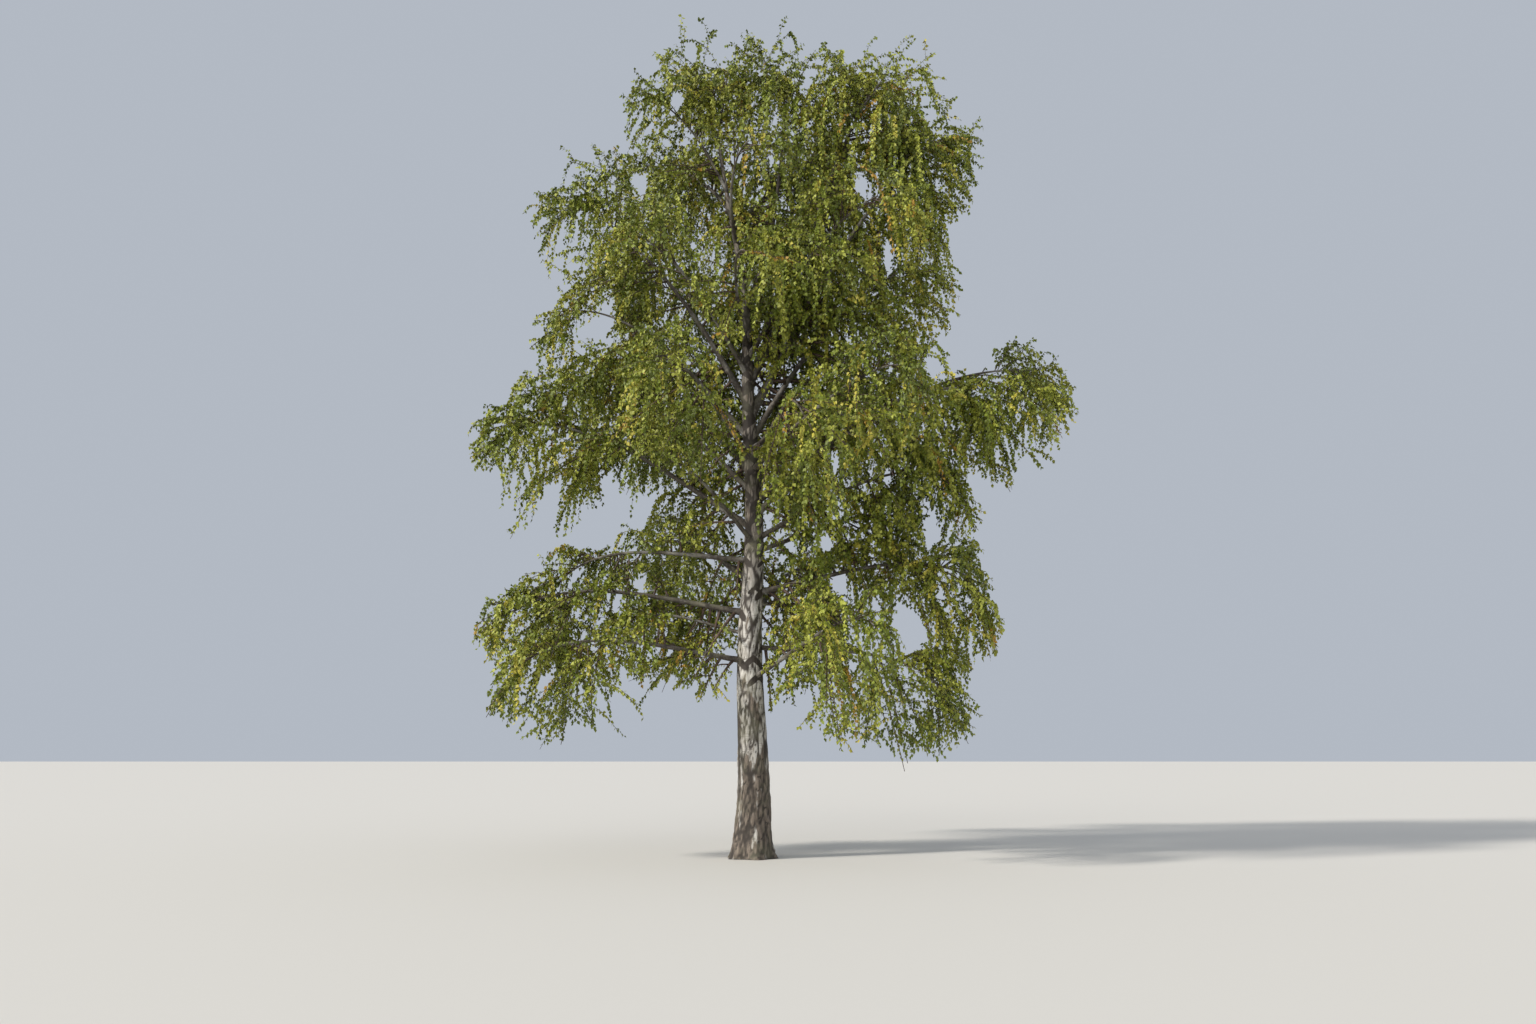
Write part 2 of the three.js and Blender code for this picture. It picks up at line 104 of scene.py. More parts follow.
# The crown: each mass of foliage, what carries it, where its limb leaves the trunk, and its middle and size.
Mass = collections.namedtuple("Mass", "name carried_by leaves at size")
CROWN = (
    Mass("crown_tip", "leader", 12.6, (-0.5, 0, 13.8), (2.1, 2, 2.4)),
    Mass("top_left", "trunk", 11.6, (-1.35, -0.2, 12.8), (1.8, 2.1, 2.3)),
    Mass("top_middle", "bough", 9.35, (0.65, 0.3, 13.85), (2.2, 2.2, 2.3)),
    Mass("top_right", "bough", 7.95, (2.3, 0.1, 13.65), (2.3, 2.3, 2.3)),
    Mass("right_shoulder", "bough", 7.35, (3.25, 0.2, 12.5), (1.7, 2.2, 2.3)),
    Mass("left_shoulder", "bough", 7.55, (-2.8, 0, 10.95), (2, 2.2, 2.55)),
    Mass("top_front", "trunk", 10.6, (-0.1, -1.5, 11.15), (2, 1.8, 2.05)),
    Mass("top_back_left", "trunk", 11.2, (-1.7, 2.1, 12.6), (2, 2, 2)),
    Mass("top_back_right", "trunk", 10.9, (1.5, 2.3, 12.9), (2.2, 2, 2)),
    Mass("upper_left", "bough", 6.95, (-2.8, 0.3, 9.05), (1.9, 2.2, 2.4)),
    Mass("upper_front_left", "trunk", 8.1, (-1.65, -1.5, 9.6), (1.9, 2, 2.15)),
    Mass("upper_front", "trunk", 8.65, (-0.1, -2.15, 8.85), (1.85, 2, 2.05)),
    Mass("upper_front_right", "trunk", 8.4, (1.85, -1.6, 10.25), (1.9, 2, 2.2)),
    Mass("upper_right", "bough", 6.9, (2.65, 0.3, 9.95), (1.9, 2.2, 2.3)),
    Mass("hanging_right", "bough", 5.2, (2.85, -0.3, 5.85), (1.7, 2.2, 1.9)),
    Mass("upper_back_left", "bough", 8.25, (-2, 2.6, 10.5), (2.3, 2.2, 2.15)),
    Mass("upper_back_right", "bough", 7.65, (0.95, 2.9, 10.8), (2.5, 2.2, 2.15)),
    Mass("far_right", "bough", 5.85, (4.45, 0, 7.75), (2, 2.3, 2.4)),
    Mass("middle_right", "bough", 5.6, (3, -0.8, 7.1), (2.1, 2.2, 2.8)),
    Mass("curtain", "trunk", 6.8, (0.65, -2.9, 5.75), (1.5, 1.8, 3.3)),
    Mass("middle_front_left", "trunk", 6.6, (-1.15, -2.6, 7), (1.8, 2, 2)),
    Mass("middle_left", "trunk", 6, (-2.5, 0.3, 7.6), (2, 2.4, 2.2)),
    Mass("far_left", "bough", 5.4, (-3.6, 0, 6.75), (2, 2.4, 2.5)),
    Mass("middle_front_right", "trunk", 6.4, (1.95, -2.5, 6.95), (1.45, 1.8, 2.05)),
    Mass("hanging_left", "trunk", 5.15, (-1.4, -1.6, 5.75), (1.7, 2, 2.1)),
    Mass("middle_back_left", "bough", 6.35, (-2.1, 3.35, 8.25), (2.5, 2.4, 2.25)),
    Mass("middle_back_right", "bough", 6.15, (1.55, 3.5, 8.1), (2.7, 2.4, 2.35)),
    Mass("low_right_tip", "bough", 4.3, (3.3, 0, 4.05), (1.5, 2.3, 2.3)),
    Mass("low_right", "trunk", 5, (2.3, 0.5, 5.15), (2, 2.4, 2.1)),
    Mass("curtain_right", "bough", 3.4, (2.55, -0.1, 2.5), (2, 2.4, 1.6)),
    Mass("low_front_right", "bough", 2.85, (1.5, -2.15, 3.05), (1.55, 2, 2.15)),
    Mass("low_inner_right", "trunk", 4.15, (1.05, 1.1, 3.6), (1.4, 1.8, 2.05)),
    Mass("low_left_tip", "bough", 3.95, (-3.65, 0.2, 3.65), (1.75, 2.2, 1.4)),
    Mass("low_left_hanging", "bough", 3.15, (-3.2, -0.7, 2.75), (1.7, 2.1, 1.5)),
    Mass("low_left_inner", "trunk", 3.6, (-1.6, 0.1, 3.55), (1.7, 2, 1.3)),
    Mass("low_left", "trunk", 4.85, (-2.7, 0.3, 4.3), (2.1, 2.4, 1.5)),
    Mass("low_back_left", "bough", 4.45, (-1.6, 3.3, 5.2), (2.2, 2.4, 2)),
    Mass("low_back_right", "bough", 3.75, (1.35, 3.4, 4.65), (2.4, 2.4, 2.1)),
)

# Limbs that show before the foliage: stretches of the trunk, as two heights and the room beside it, and
# boughs as far as a share of their length.
SHOWN_TRUNK = ((2.0, 4.6, 0.24), (4.6, 9.4, 0.05), (10.5, 12.1, 0.06))
SHOWN_LIMBS = {"left_shoulder": 0.6, "far_left": 0.5, "upper_right": 0.4}
SHOWN_STEP = 0.12
SHOWN_BESIDE_LIMB = 0.085

# Twigs leave a stem by the golden angle.
GOLDEN_ANGLE = math.radians(137.508)
GOLDEN_SHARE = 0.618034
GROWTH_SEED = 101
FIRST_TWIG_AT = 0.3
LAST_TWIG_AT = 0.98
TWIG_SPREAD = math.radians(75)
TIP_TWIG_SPREAD = math.radians(38)
SPREAD_NARROWS = 1.4
TWIG_SPREAD_SWAY = math.radians(18)
TWIG_TURN_SWAY = math.radians(20)
TIP_TWIGS_LENGTH = 1.8
BOUGH_TWIGS = 0.75
TWIG_BEND_AT = 0.5
TWIG_RISE = 0.4
TWIG_DROOP = 0.14
TWIG_SHORTEST = 0.7
TWIG_LEAST = 0.12
TWIG_RADIUS_SHARE = 0.6
TWIG_TIP_RADIUS = 0.005
TWIG_LEAFY_FROM = 0.15
CLEAR_OF_LIMBS = 0.012

# Side twigs leave the twigs to both sides.
SIDE_TWIGS_FROM = 0.22
SIDE_TWIGS_OVER = 0.7
SIDE_TWIG_TILT = 0.9
SIDE_TWIG_SPREAD = math.radians(70)
SIDE_TWIG_LENGTH = (0.35, 0.65)
SIDE_TWIG_RUN = 0.85
SIDE_TWIG_DROOP = 1.4 * TWIG_DROOP
SIDE_TWIG_RADIUS_SHARE = 0.65
SIDE_TWIG_TIP_RADIUS = 0.0035

# Shoots hang from both in tassels.
TASSEL = 2
SHOOTS_ALONG = (0.12, 0.93)
SHOOTS_AT_TIP = 0.95
SHOOT_SCATTER = 0.04
SHOOT_LEAN_SCATTER = 0.5
SHOOT_FORWARD = 0.55
SHOOT_SIDEWAYS = 0.9
TIP_SHOOT_SIDEWAYS = 0.25
SHOOT_ROOT_RADIUS = 0.0035
SHOOT_TIP_RADIUS = 0.0014
SHOOT_LEAST = 0.14
SHOOT_KEEPS_IN = 0.26
SHOOT_LENGTH_SPREAD = (1.3, 1.9)
CUT_STEPS = 12
CUT_SHORTER = 0.82
CUT_LEAST = 1e-3
RISING_SHARE = 0.08
RISING_SHARE_UPWARD = 0.6
RISING_LIMITS = (0.03, 0.65)
HANGING_SHARE = 0.52
# Each kind of shoot: its least and greatest length as shares of the longest, and how far its bend and its
# tip lie out from the twig and up, as shares of its own length.
SHOOT_KINDS = (
    (0.18, 0.50, 0.30, 0.56, 0.62, 0.42),
    (0.26, 1.00, 0.26, 0.07, 0.34, -0.90),
    (0.18, 0.50, 0.42, 0.12, 0.80, -0.30),
)

# Leaves stand off a shoot by the golden angle, and hang. LEAF_ACROSS is a direction that hardly any shoot
# has, so there is always a side square to both.
FIRST_LEAF_AT = 0.06
LEAF_SCATTER = 0.9
LEAF_SIDEWAYS = (0.35, 1.0)
LEAF_FORWARD = 0.35
LEAF_DROP = (0.15, 1.0)
LEAF_ROLL = 1.2
LEAF_TILT = 0.8
LEAF_ACROSS = (0.31, 0.95, 0.05)
LEAF_TEST_LENGTH = 0.05
LEAF_CLEARANCE = 0.03
LEAF_SIZES = (0.72, 1.22)
LEAF_WIDEST_AT = 0.4
LEAF_FOLD = 0.16
LEAF_FOLD_LEAST = 0.3
LEAF_TIP_DROOP = 0.08

# Masses at the sides and at the top, with no others before and behind them, have more twigs.
FULLNESS = 0.46
FULLER_OUTWARD = 0.25
FULLER_UPWARD = 0.1
FULLER_ABOVE = 9.0

# Shoots grow in clumps: their length follows a smooth noise of this size, between two shares of itself.
CLUMP_SIZE = 0.7
CLUMP_CONTRAST = 1.4
CLUMP_SHORT = 0.65
CLUMP_LONG = 1.35

# Gaps in which sky shows: the middle's X and Z, and half the width and height, as the viewer sees them.
VIEWER = (0.27, -20.0, 1.6)
GAP_RAGGED = 0.8
GAP_FUZZY = (0.15, 1.5)
GAP_STOPS_TWIGS = 0.5
# The waves of a gap's ragged edge: how often each comes round in a metre across and a metre up.
GAP_WAVES = (((27, 4), (-9, 7)), ((12, -3), (4, 5)))
GAP_WAVE_HEIGHT = 0.6
SKY_GAPS = (
    (1.6, 14.85, 0.7, 0.38),
    (1.0, 13.85, 0.14, 0.3),
    (-1.35, 13.45, 0.14, 0.16),
    (-2.0, 11.8, 0.16, 0.26),
    (1.98, 11.75, 0.18, 0.26),
    (-4.05, 10.7, 0.22, 0.4),
    (2.4, 10.4, 0.12, 0.4),
    (3.75, 10.7, 0.3, 0.55),
    (3.85, 9.8, 0.22, 0.35),
    (-3.6, 9.75, 0.12, 0.15),
    (-2.6, 9.25, 0.23, 0.55),
    (3.12, 8.3, 0.16, 0.24),
    (3.95, 8.45, 0.42, 0.38),
    (5.5, 8.75, 0.5, 0.32),
    (1.45, 6.6, 0.14, 0.26),
    (2.32, 6.4, 0.12, 0.18),
    (3.85, 6.2, 0.18, 0.3),
    (-4.65, 6.15, 0.42, 0.36),
    (-3.38, 5.95, 0.23, 0.42),
    (-2.45, 6.2, 0.16, 0.25),
    (-2.55, 5.58, 0.42, 0.34),
    (3.0, 5.4, 0.13, 0.4),
    (4.1, 5.2, 0.3, 0.6),
    (1.25, 5.2, 0.1, 0.25),
    (1.45, 4.5, 0.16, 0.26),
    (4.25, 4.25, 0.2, 0.45),
    (-1.9, 4.5, 0.16, 0.18),
    (-2.25, 4.25, 0.14, 0.16),
    (2.08, 4.12, 0.12, 0.14),
    (2.65, 3.75, 0.3, 0.52),
    (-4.6, 2.9, 0.46, 0.6),
    (-1.35, 2.35, 1.0, 0.52),
    (0.95, 2.6, 0.14, 0.15),
)

# Leaf tints: plain colours, each dealt out to whole sprays, with the share of the sprays that has it.
TINTS = {
    "deep_green": {"colour": (0.108, 0.138, 0.010), "share": 0.20},
    "green": {"colour": (0.172, 0.212, 0.014), "share": 0.30},
    "olive": {"colour": (0.242, 0.256, 0.020), "share": 0.26},
    "pale_green": {"colour": (0.330, 0.358, 0.044), "share": 0.17},
    "yellow": {"colour": (0.420, 0.374, 0.042), "share": 0.05},
    "amber": {"colour": (0.400, 0.240, 0.026), "share": 0.01},
}
TINT_PATCH = 1.3
TINT_MIXING = 0.5
TINT_SEED = 11

# The bark: its plates in a metre, the depth of its fissures, the dark marks over the limbs and between them,
# and the heights over which it turns white, then darker inside the crown, partly greyer bark, partly painted
# crown shade.
PLATE_LENGTH = 0.26
TRUNK_PLATES = 8.5
LIMB_PLATES = 14
BOUGH_RING_LENGTH = 0.055
BOUGH_RELIEF = 0.3
BOUGH_PALE = 0.35
STEM_RING_LENGTH = 0.1
STEM_RELIEF = 0.2
STEM_PALE = 0.5
ROUGH_AT_FOOT = 3.2
SMOOTH_BARK = 0.12
SCAR_DEPTH = 0.004
SCAR_SIZE = 3.2
SMALL_SCAR_LEVELS = (2.7, 11, 0.55)
SMALL_SCAR_SWAY = 0.2
SMALL_SCAR_SIZES = (0.07, 0.15)
SCAR_SEED = 7
WHITE_BARK = (0.3, 2.9)
# From 4 to 5.4 m up, the white gives way to darker bark inside the crown: partly greyer bark, partly painted
# shade from the crown.
CROWN_GREY_AND_SHADE = (4.0, 5.4)

# The stage: floor, light and camera, with angles in degrees.
FLOOR_HALF_WIDTH = 400.0
FLOOR_DROP = 0.002
FLOOR_COLOUR = (0.62, 0.60, 0.56, 1)
WORLD_COLOUR = (0.80, 0.87, 0.98, 1)
WORLD_STRENGTH = 0.56
SUNS = {
    "key": {"to": (-0.92, -0.45, 0.66), "energy": 3.6, "degrees": 6, "colour": (1.0, 0.955, 0.88)},
    "fill": {"to": (-0.35, -1.0, 0.4), "energy": 0.8, "degrees": 50, "colour": (1.0, 0.97, 0.92)},
}
LENS = 28
SENSOR_WIDTH = 36
VIEW_ENDS = 500
LOOKS_UP = 11.58


def unit(vectors):
    """The vectors at length one."""
    return vectors / np.linalg.norm(vectors, axis=-1, keepdims=True)


def lerp(low, high, share):
    """The value at a share of the way from a low one to a high one."""
    return low + (high - low) * share


def bezier(points, shares):
    """The places at some shares of curves, whose control points lie on the last axis but one."""
    level = points[..., None, :, :]
    shares = np.asarray(shares, float)[..., :, None, None]
    while level.shape[-2] > 1:
        level = lerp(level[..., :-1, :], level[..., 1:, :], shares)
    return level[..., 0, :]


def bezier_tangent(points, shares):
    """The directions of curves at some shares of them."""
    return unit(bezier(points[..., 1:, :] - points[..., :-1, :], shares))


def seeded(seed):
    """A stream of even random numbers from 0 to 1, the same as the solids have for the same seed."""
    whole = 0xFFFFFFFF
    state = seed & whole

    def draw():
        nonlocal state
        state = (state + 0x6D2B79F5) & whole
        mixed = ((state ^ (state >> 15)) * (state | 1)) & whole
        mixed ^= (mixed + (((mixed ^ (mixed >> 7)) * (mixed | 61)) & whole)) & whole
        return (mixed ^ (mixed >> 14)) / (whole + 1)

    return draw


def trunk_middle(height):
    """The point or points on the trunk's middle line at a height."""
    height = np.asarray(height, float)
    leaned = np.maximum(0, (height - LEAN_STARTS) / (LEAN_ENDS - LEAN_STARTS))
    turn = 2 * math.pi * height / WAVER_LENGTH
    across = WAVER * np.sin(turn) - LEAN * leaned * leaned
    away = WAVER * (np.cos(WAVER_AWAY * turn) - 1)
    return np.stack([across, away, height], axis=-1)


def trunk_radius(height, angle):
    """The trunk's radius at a height, on the side that faces the angle."""
    stem = TRUNK_FOOT_RADIUS * (1 - height / TRUNK_RUNS_OUT) ** TRUNK_TAPER
    flare = FLARE * math.exp(-height / FLARE_HEIGHT)
    lobes = math.cos(BUTTRESSES * angle) + BUTTRESS_UNEVEN * math.cos(2 * angle + 1)
    return stem + flare + BUTTRESS * lobes * math.exp(-height / BUTTRESS_HEIGHT)


class Space:
    """The room of one mass of foliage: an egg, drawn out along its bough to the trunk."""

    def __init__(self, row):
        self.middle = np.array(row.at, float)
        self.half = np.array(row.size, float) * SPACE_SHARE / 2
        inward = trunk_middle(row.leaves) - self.middle
        self.inward = unit(inward)
        self.tail = max(0.0, np.linalg.norm(inward) - self.egg(self.inward))

    def egg(self, direction):
        """How far the egg reaches from its middle in a direction."""
        return 1 / np.linalg.norm(direction / self.half, axis=-1)

    def holds(self, points, margin=0.0, share=TWIGS_REACH_ON):
        """Whether each point lies in a share of the egg or in the tail, at least a margin from the walls."""
        offset = points - self.middle
        far = np.linalg.norm(offset, axis=-1)
        direction = offset / np.maximum(far, 1e-9)[..., None]
        tail = self.tail * np.maximum(0, direction @ self.inward) ** TAIL_NARROWS
        return far <= share * self.egg(direction) + tail - margin

    def run_inside(self, starts, directions):
        """How far a straight line from each start runs inside, with no gap in the way."""
        step = 0.05
        farthest = 3.0
        steps = np.arange(1, round(farthest / step) + 1) * step
        places = starts[:, None] + directions[:, None] * steps[:, None]
        inside = self.holds(places) & ~in_gap(places, GAP_STOPS_TWIGS)
        return np.where(inside.all(axis=1), steps[-1], steps[np.argmin(inside, axis=1)] - steps[0])


class Limb:
    """One curve from the trunk: a bare bough as far as its foliage, and a stem inside it."""

    def __init__(self, row, index):
        draw = seeded(index + 1)
        self.row = row
        self.space = Space(row)
        middle = self.space.middle
        start = trunk_middle(row.leaves)
        aim = unit(middle - start)
        upward = max(0.0, aim[2])
        end = middle + aim * lerp(STEM_REACH, STEM_REACH_UPWARD, upward) * self.space.egg(aim)
        end[2] += STEM_RISE * (1 - aim[2]) * row.size[2]
        while not self.space.holds(end, STEM_KEEPS_IN, share=1.0):
            end = lerp(end, middle, STEM_STEP_BACK)
        self.length = float(np.linalg.norm(end - start))
        turn = math.atan2(aim[1], aim[0])
        above = math.asin(aim[2])
        sideways = np.array([-math.sin(turn), math.cos(turn), 0])
        rise = above if row.carried_by == "leader" else min(above + ARCH_UP, STEEPEST)
        settle = above - ARCH_OVER * math.cos(above)
        first = FIRST_HANDLE * heading(turn, rise) + SIDEWAYS * (2 * draw() - 1) * sideways
        last = -LAST_HANDLE * heading(turn, settle) + SIDEWAYS * (2 * draw() - 1) * sideways
        self.curve = np.array([start, start + self.length * first, end + self.length * last, end])
        self.root_radius = LIMB_RADIUS + LIMB_RADIUS_PER_METRE * self.length
        self.collar = 0.0 if row.carried_by == "leader" else COLLAR * self.root_radius
        shares = np.arange(0, 1, CURVE_STEP)
        offset = bezier(self.curve, shares) - middle
        far = np.linalg.norm(offset, axis=-1)
        within = far < BOUGH_ENDS_AT * self.space.egg(offset / far[:, None])
        self.enters = float(shares[np.argmax(within)])
        leafy = self.space.holds(bezier(self.curve, shares)) & (shares * self.length > BARE_AT_TRUNK)
        self.leafy_from = float(shares[np.argmax(leafy)])
        above = max(0, middle[2] - FULLER_ABOVE)
        self.fullness = FULLNESS + FULLER_OUTWARD * abs(middle[0]) + FULLER_UPWARD * above

    def radius(self, share):
        """The limb's radius at a share of its curve."""
        taper = (self.root_radius - LIMB_TIP_RADIUS) * (1 - share) ** LIMB_TAPER
        return LIMB_TIP_RADIUS + taper + self.collar * np.exp(-share * self.length / COLLAR_LENGTH)


def heading(turn, above):
    """A direction from its turn round Z and its angle above the level."""
    return np.array([math.cos(turn) * math.cos(above), math.sin(turn) * math.cos(above), math.sin(above)])


@functools.cache
def limbs():
    """Every limb of the crown."""
    return [Limb(row, index) for index, row in enumerate(CROWN)]


def seen_flat(places):
    """Where the viewer sees each place on the upright plane through the foot of the trunk: X and Z."""
    nearer = VIEWER[1] / (VIEWER[1] - places[..., 1])
    across = VIEWER[0] + (places[..., 0] - VIEWER[0]) * nearer
    up = VIEWER[2] + (places[..., 2] - VIEWER[2]) * nearer
    return across, up


@functools.cache
def shown_limbs():
    """Points along the limbs that show before the foliage: X and Z as seen, Y, and the room beside them."""
    lines = []
    rooms = []
    for bottom, top, room in SHOWN_TRUNK:
        lines.append(trunk_middle(np.arange(bottom, top, SHOWN_STEP)))
        rooms.append(np.full(len(lines[-1]), room))
    for limb in limbs():
        far = SHOWN_LIMBS.get(limb.row.name, 0)
        lines.append(bezier(limb.curve, np.arange(0, far, SHOWN_STEP / limb.length)))
        rooms.append(np.full(len(lines[-1]), SHOWN_BESIDE_LIMB))
    points = np.concatenate(lines)
    return *seen_flat(points), points[:, 1], np.concatenate(rooms)


def in_gap(places, reach=1.0):
    """Whether each place lies in a ragged gap: one that shows sky, or the room before a limb that shows.

    A gap of sky reaches farther or less far for some of the places, by the share given.
    """
    across, up = seen_flat(places)
    ragged = 1.0
    for waves in GAP_WAVES:
        heights = [np.sin(often * across + upward * up) for often, upward in waves]
        ragged = ragged + GAP_RAGGED * GAP_WAVE_HEIGHT * heights[0] * heights[1]
    inside = np.zeros(across.shape, bool)
    for middle, level, width, height in SKY_GAPS:
        inside |= ((across - middle) / width) ** 2 + ((up - level) / height) ** 2 < reach * ragged
    for middle, level, away, room in zip(*shown_limbs()):
        near = (across - middle) ** 2 + (up - level) ** 2 < (room * ragged) ** 2
        inside |= near & (places[..., 1] < away)
    return inside


@functools.cache
def limb_finder():
    """A tree of points along all the limbs, and the limb's radius at each."""
    spacing = 0.04
    points = []
    radii = []
    for limb in limbs():
        shares = np.linspace(0, 1, max(2, int(limb.length / spacing)))
        points.extend(bezier(limb.curve, shares))
        radii.extend(limb.radius(shares))
    finder = kdtree.KDTree(len(points))
    for index, point in enumerate(points):
        finder.insert(point, index)
    finder.balance()
    return finder, radii


def touches_limb(points):
    """Whether each point lies in the trunk or a limb, or closer to it than the clearance."""
    finder, radii = limb_finder()
    from_trunk = np.linalg.norm((points - trunk_middle(points[:, 2]))[:, :2], axis=1)
    shape = 1 - np.clip(points[:, 2], 0, TRUNK_TOP) / TRUNK_RUNS_OUT
    in_trunk = from_trunk < TRUNK_FOOT_RADIUS * shape**TRUNK_TAPER + CLEAR_OF_LIMBS
    nearest = [finder.find(point) for point in points]
    in_limb = np.array([distance < radii[index] + CLEAR_OF_LIMBS for _, index, distance in nearest], bool)
    return (in_trunk & (points[:, 2] < TRUNK_TOP)) | in_limb


def places_on(curves, shares):
    """The place on each curve at its own share, and the curve's direction there."""
    own = shares[:, None]
    return bezier(curves, own)[:, 0], bezier_tangent(curves, own)[:, 0]


def turned(side, along, angle):
    """A direction square to another, turned round it by an angle."""
    return side * np.cos(angle)[:, None] + np.cross(along, side) * np.sin(angle)[:, None]


def arching(starts, out, length, droop):
    """Curves that rise a little as they leave and droop at their tips."""
    bends = starts + out * (TWIG_BEND_AT * length)[:, None] + UP * (TWIG_RISE * droop)[:, None]
    ends = starts + out * length[:, None] - UP * droop[:, None]
    return np.stack([starts, bends, ends], axis=1)


def grow_twigs(limb, count, random):
    """The twigs that leave a stem, as curves and their radii at the root."""
    count = count * limb.fullness
    inner = round(BOUGH_TWIGS * count * (limb.enters - limb.leafy_from) * limb.length)
    outer = round(count * ((1 - limb.enters) * limb.length + TIP_TWIGS_LENGTH))
    order = np.arange(inner + outer)
    spread_out = (FIRST_TWIG_AT + order * GOLDEN_SHARE) % 1
    on_bough = order < inner
    first = np.where(on_bough, limb.leafy_from, limb.enters)
    shares = lerp(first, np.where(on_bough, limb.enters, LAST_TWIG_AT), spread_out)
    starts = bezier(limb.curve, shares)
    along = bezier_tangent(limb.curve, shares)
    level = unit(np.cross(along, UP))
    side = turned(level, along, order * GOLDEN_ANGLE + TWIG_TURN_SWAY * random.uniform(-1, 1, len(order)))
    near_tip = np.where(on_bough, 0, spread_out) ** SPREAD_NARROWS
    spread = lerp(TWIG_SPREAD, TIP_TWIG_SPREAD, near_tip)
    spread = spread + TWIG_SPREAD_SWAY * random.uniform(-1, 1, len(order))
    out = unit(along * np.cos(spread)[:, None] + side * np.sin(spread)[:, None])
    length = limb.space.run_inside(starts, out) * random.uniform(TWIG_SHORTEST, 1.0, len(order))
    root = TWIG_RADIUS_SHARE * limb.radius(shares)
    kept = length > TWIG_LEAST
    return arching(starts, out, length, TWIG_DROOP * length)[kept], root[kept]


def grow_side_twigs(space, twigs, roots, count, random):
    """The side twigs that leave each twig to its left and right in turn."""
    curves = np.repeat(twigs, count, axis=0)
    order = np.tile(np.arange(count), len(twigs))
    total = len(order)
    shares = SIDE_TWIGS_FROM + SIDE_TWIGS_OVER * (order + random.uniform(0, 1, total)) / count
    starts, along = places_on(curves, shares)
    level = unit(np.cross(along, UP))
    hand = np.where(order % 2 == 0, 1.0, -1.0)
    side = turned(level * hand[:, None], along, random.uniform(-SIDE_TWIG_TILT, SIDE_TWIG_TILT, total))
    out = unit(along * math.cos(SIDE_TWIG_SPREAD) + side * math.sin(SIDE_TWIG_SPREAD))
    length = np.linalg.norm(curves[:, -1] - curves[:, 0], axis=1) * random.uniform(*SIDE_TWIG_LENGTH, total)
    length = np.minimum(length, space.run_inside(starts, out) * SIDE_TWIG_RUN)
    root = SIDE_TWIG_RADIUS_SHARE * lerp(np.repeat(roots, count), TWIG_TIP_RADIUS, shares)
    kept = length > TWIG_LEAST
    return arching(starts, out, length, SIDE_TWIG_DROOP * length)[kept], root[kept]


def outer_part(curves, share):
    """The stretch of each curve from a share of it to its tip."""
    start = bezier(curves, [share])[:, 0]
    return np.stack([start, lerp(curves[:, 1], curves[:, 2], share), curves[:, 2]], axis=1)


def drift_at(places, length):
    """Smooth noise that changes over a length, at some places."""
    return np.array([noise.noise(Vector(place / length)) for place in places])


def bent_length(curves):
    """The length of each curve's two handles."""
    return np.linalg.norm(np.diff(curves, axis=1), axis=2).sum(axis=1)


def grow_shoots(space, twigs, per_metre, longest, random):
    """The shoots that hang from the twigs, with some on the upper side that rise before they bend over."""
    twig_length = np.linalg.norm(twigs[:, -1] - twigs[:, 0], axis=1)
    counts = np.round(twig_length * per_metre + random.uniform(-0.5, 0.5, len(twigs)))
    counts = np.maximum(1, counts).astype(int)
    curves = np.repeat(twigs, counts, axis=0)
    total = len(curves)
    order = np.concatenate([np.arange(count) for count in counts])
    tassel = np.cumsum(order % TASSEL == 0) - 1
    at_tip = order < TASSEL
    shares = np.where(at_tip, SHOOTS_AT_TIP, random.uniform(*SHOOTS_ALONG, total)[tassel])
    shares = shares + random.uniform(-SHOOT_SCATTER, SHOOT_SCATTER, total)
    starts, along = places_on(curves, shares)
    level = unit(np.cross(along, UP))
    lean = random.uniform(-1, 1, total)[tassel]
    lean = lean + random.uniform(-SHOOT_LEAN_SCATTER, SHOOT_LEAN_SCATTER, total)
    forward = np.where(at_tip, 1.0, SHOOT_FORWARD)
    sideways = np.where(at_tip, TIP_SHOOT_SIDEWAYS, SHOOT_SIDEWAYS)
    out = unit(along * forward[:, None] + level * sideways[:, None] * lean[:, None])
    above = (starts - space.middle)[:, 2] / space.half[2]
    rises = random.uniform(0, 1, total) < np.clip(RISING_SHARE + RISING_SHARE_UPWARD * above, *RISING_LIMITS)
    hangs = ~rises & (random.uniform(0, 1, total)[tassel] < HANGING_SHARE)
    kind = np.where(rises, 0, np.where(hangs, 1, 2))
    least, most, bend_out, bend_up, end_out, end_up = np.array(SHOOT_KINDS).T[:, kind]
    fullness = np.clip(0.5 + CLUMP_CONTRAST * drift_at(starts, CLUMP_SIZE), 0, 1)
    length = longest * lerp(least, most, random.beta(*SHOOT_LENGTH_SPREAD, total))
    length = length * lerp(CLUMP_SHORT, CLUMP_LONG, fullness)
    bends = starts + (out * bend_out[:, None] + UP * bend_up[:, None]) * length[:, None]
    ends = starts + (out * end_out[:, None] + UP * end_up[:, None]) * length[:, None]
    return cut_to_space(space, np.stack([starts, bends, ends], axis=1), random)


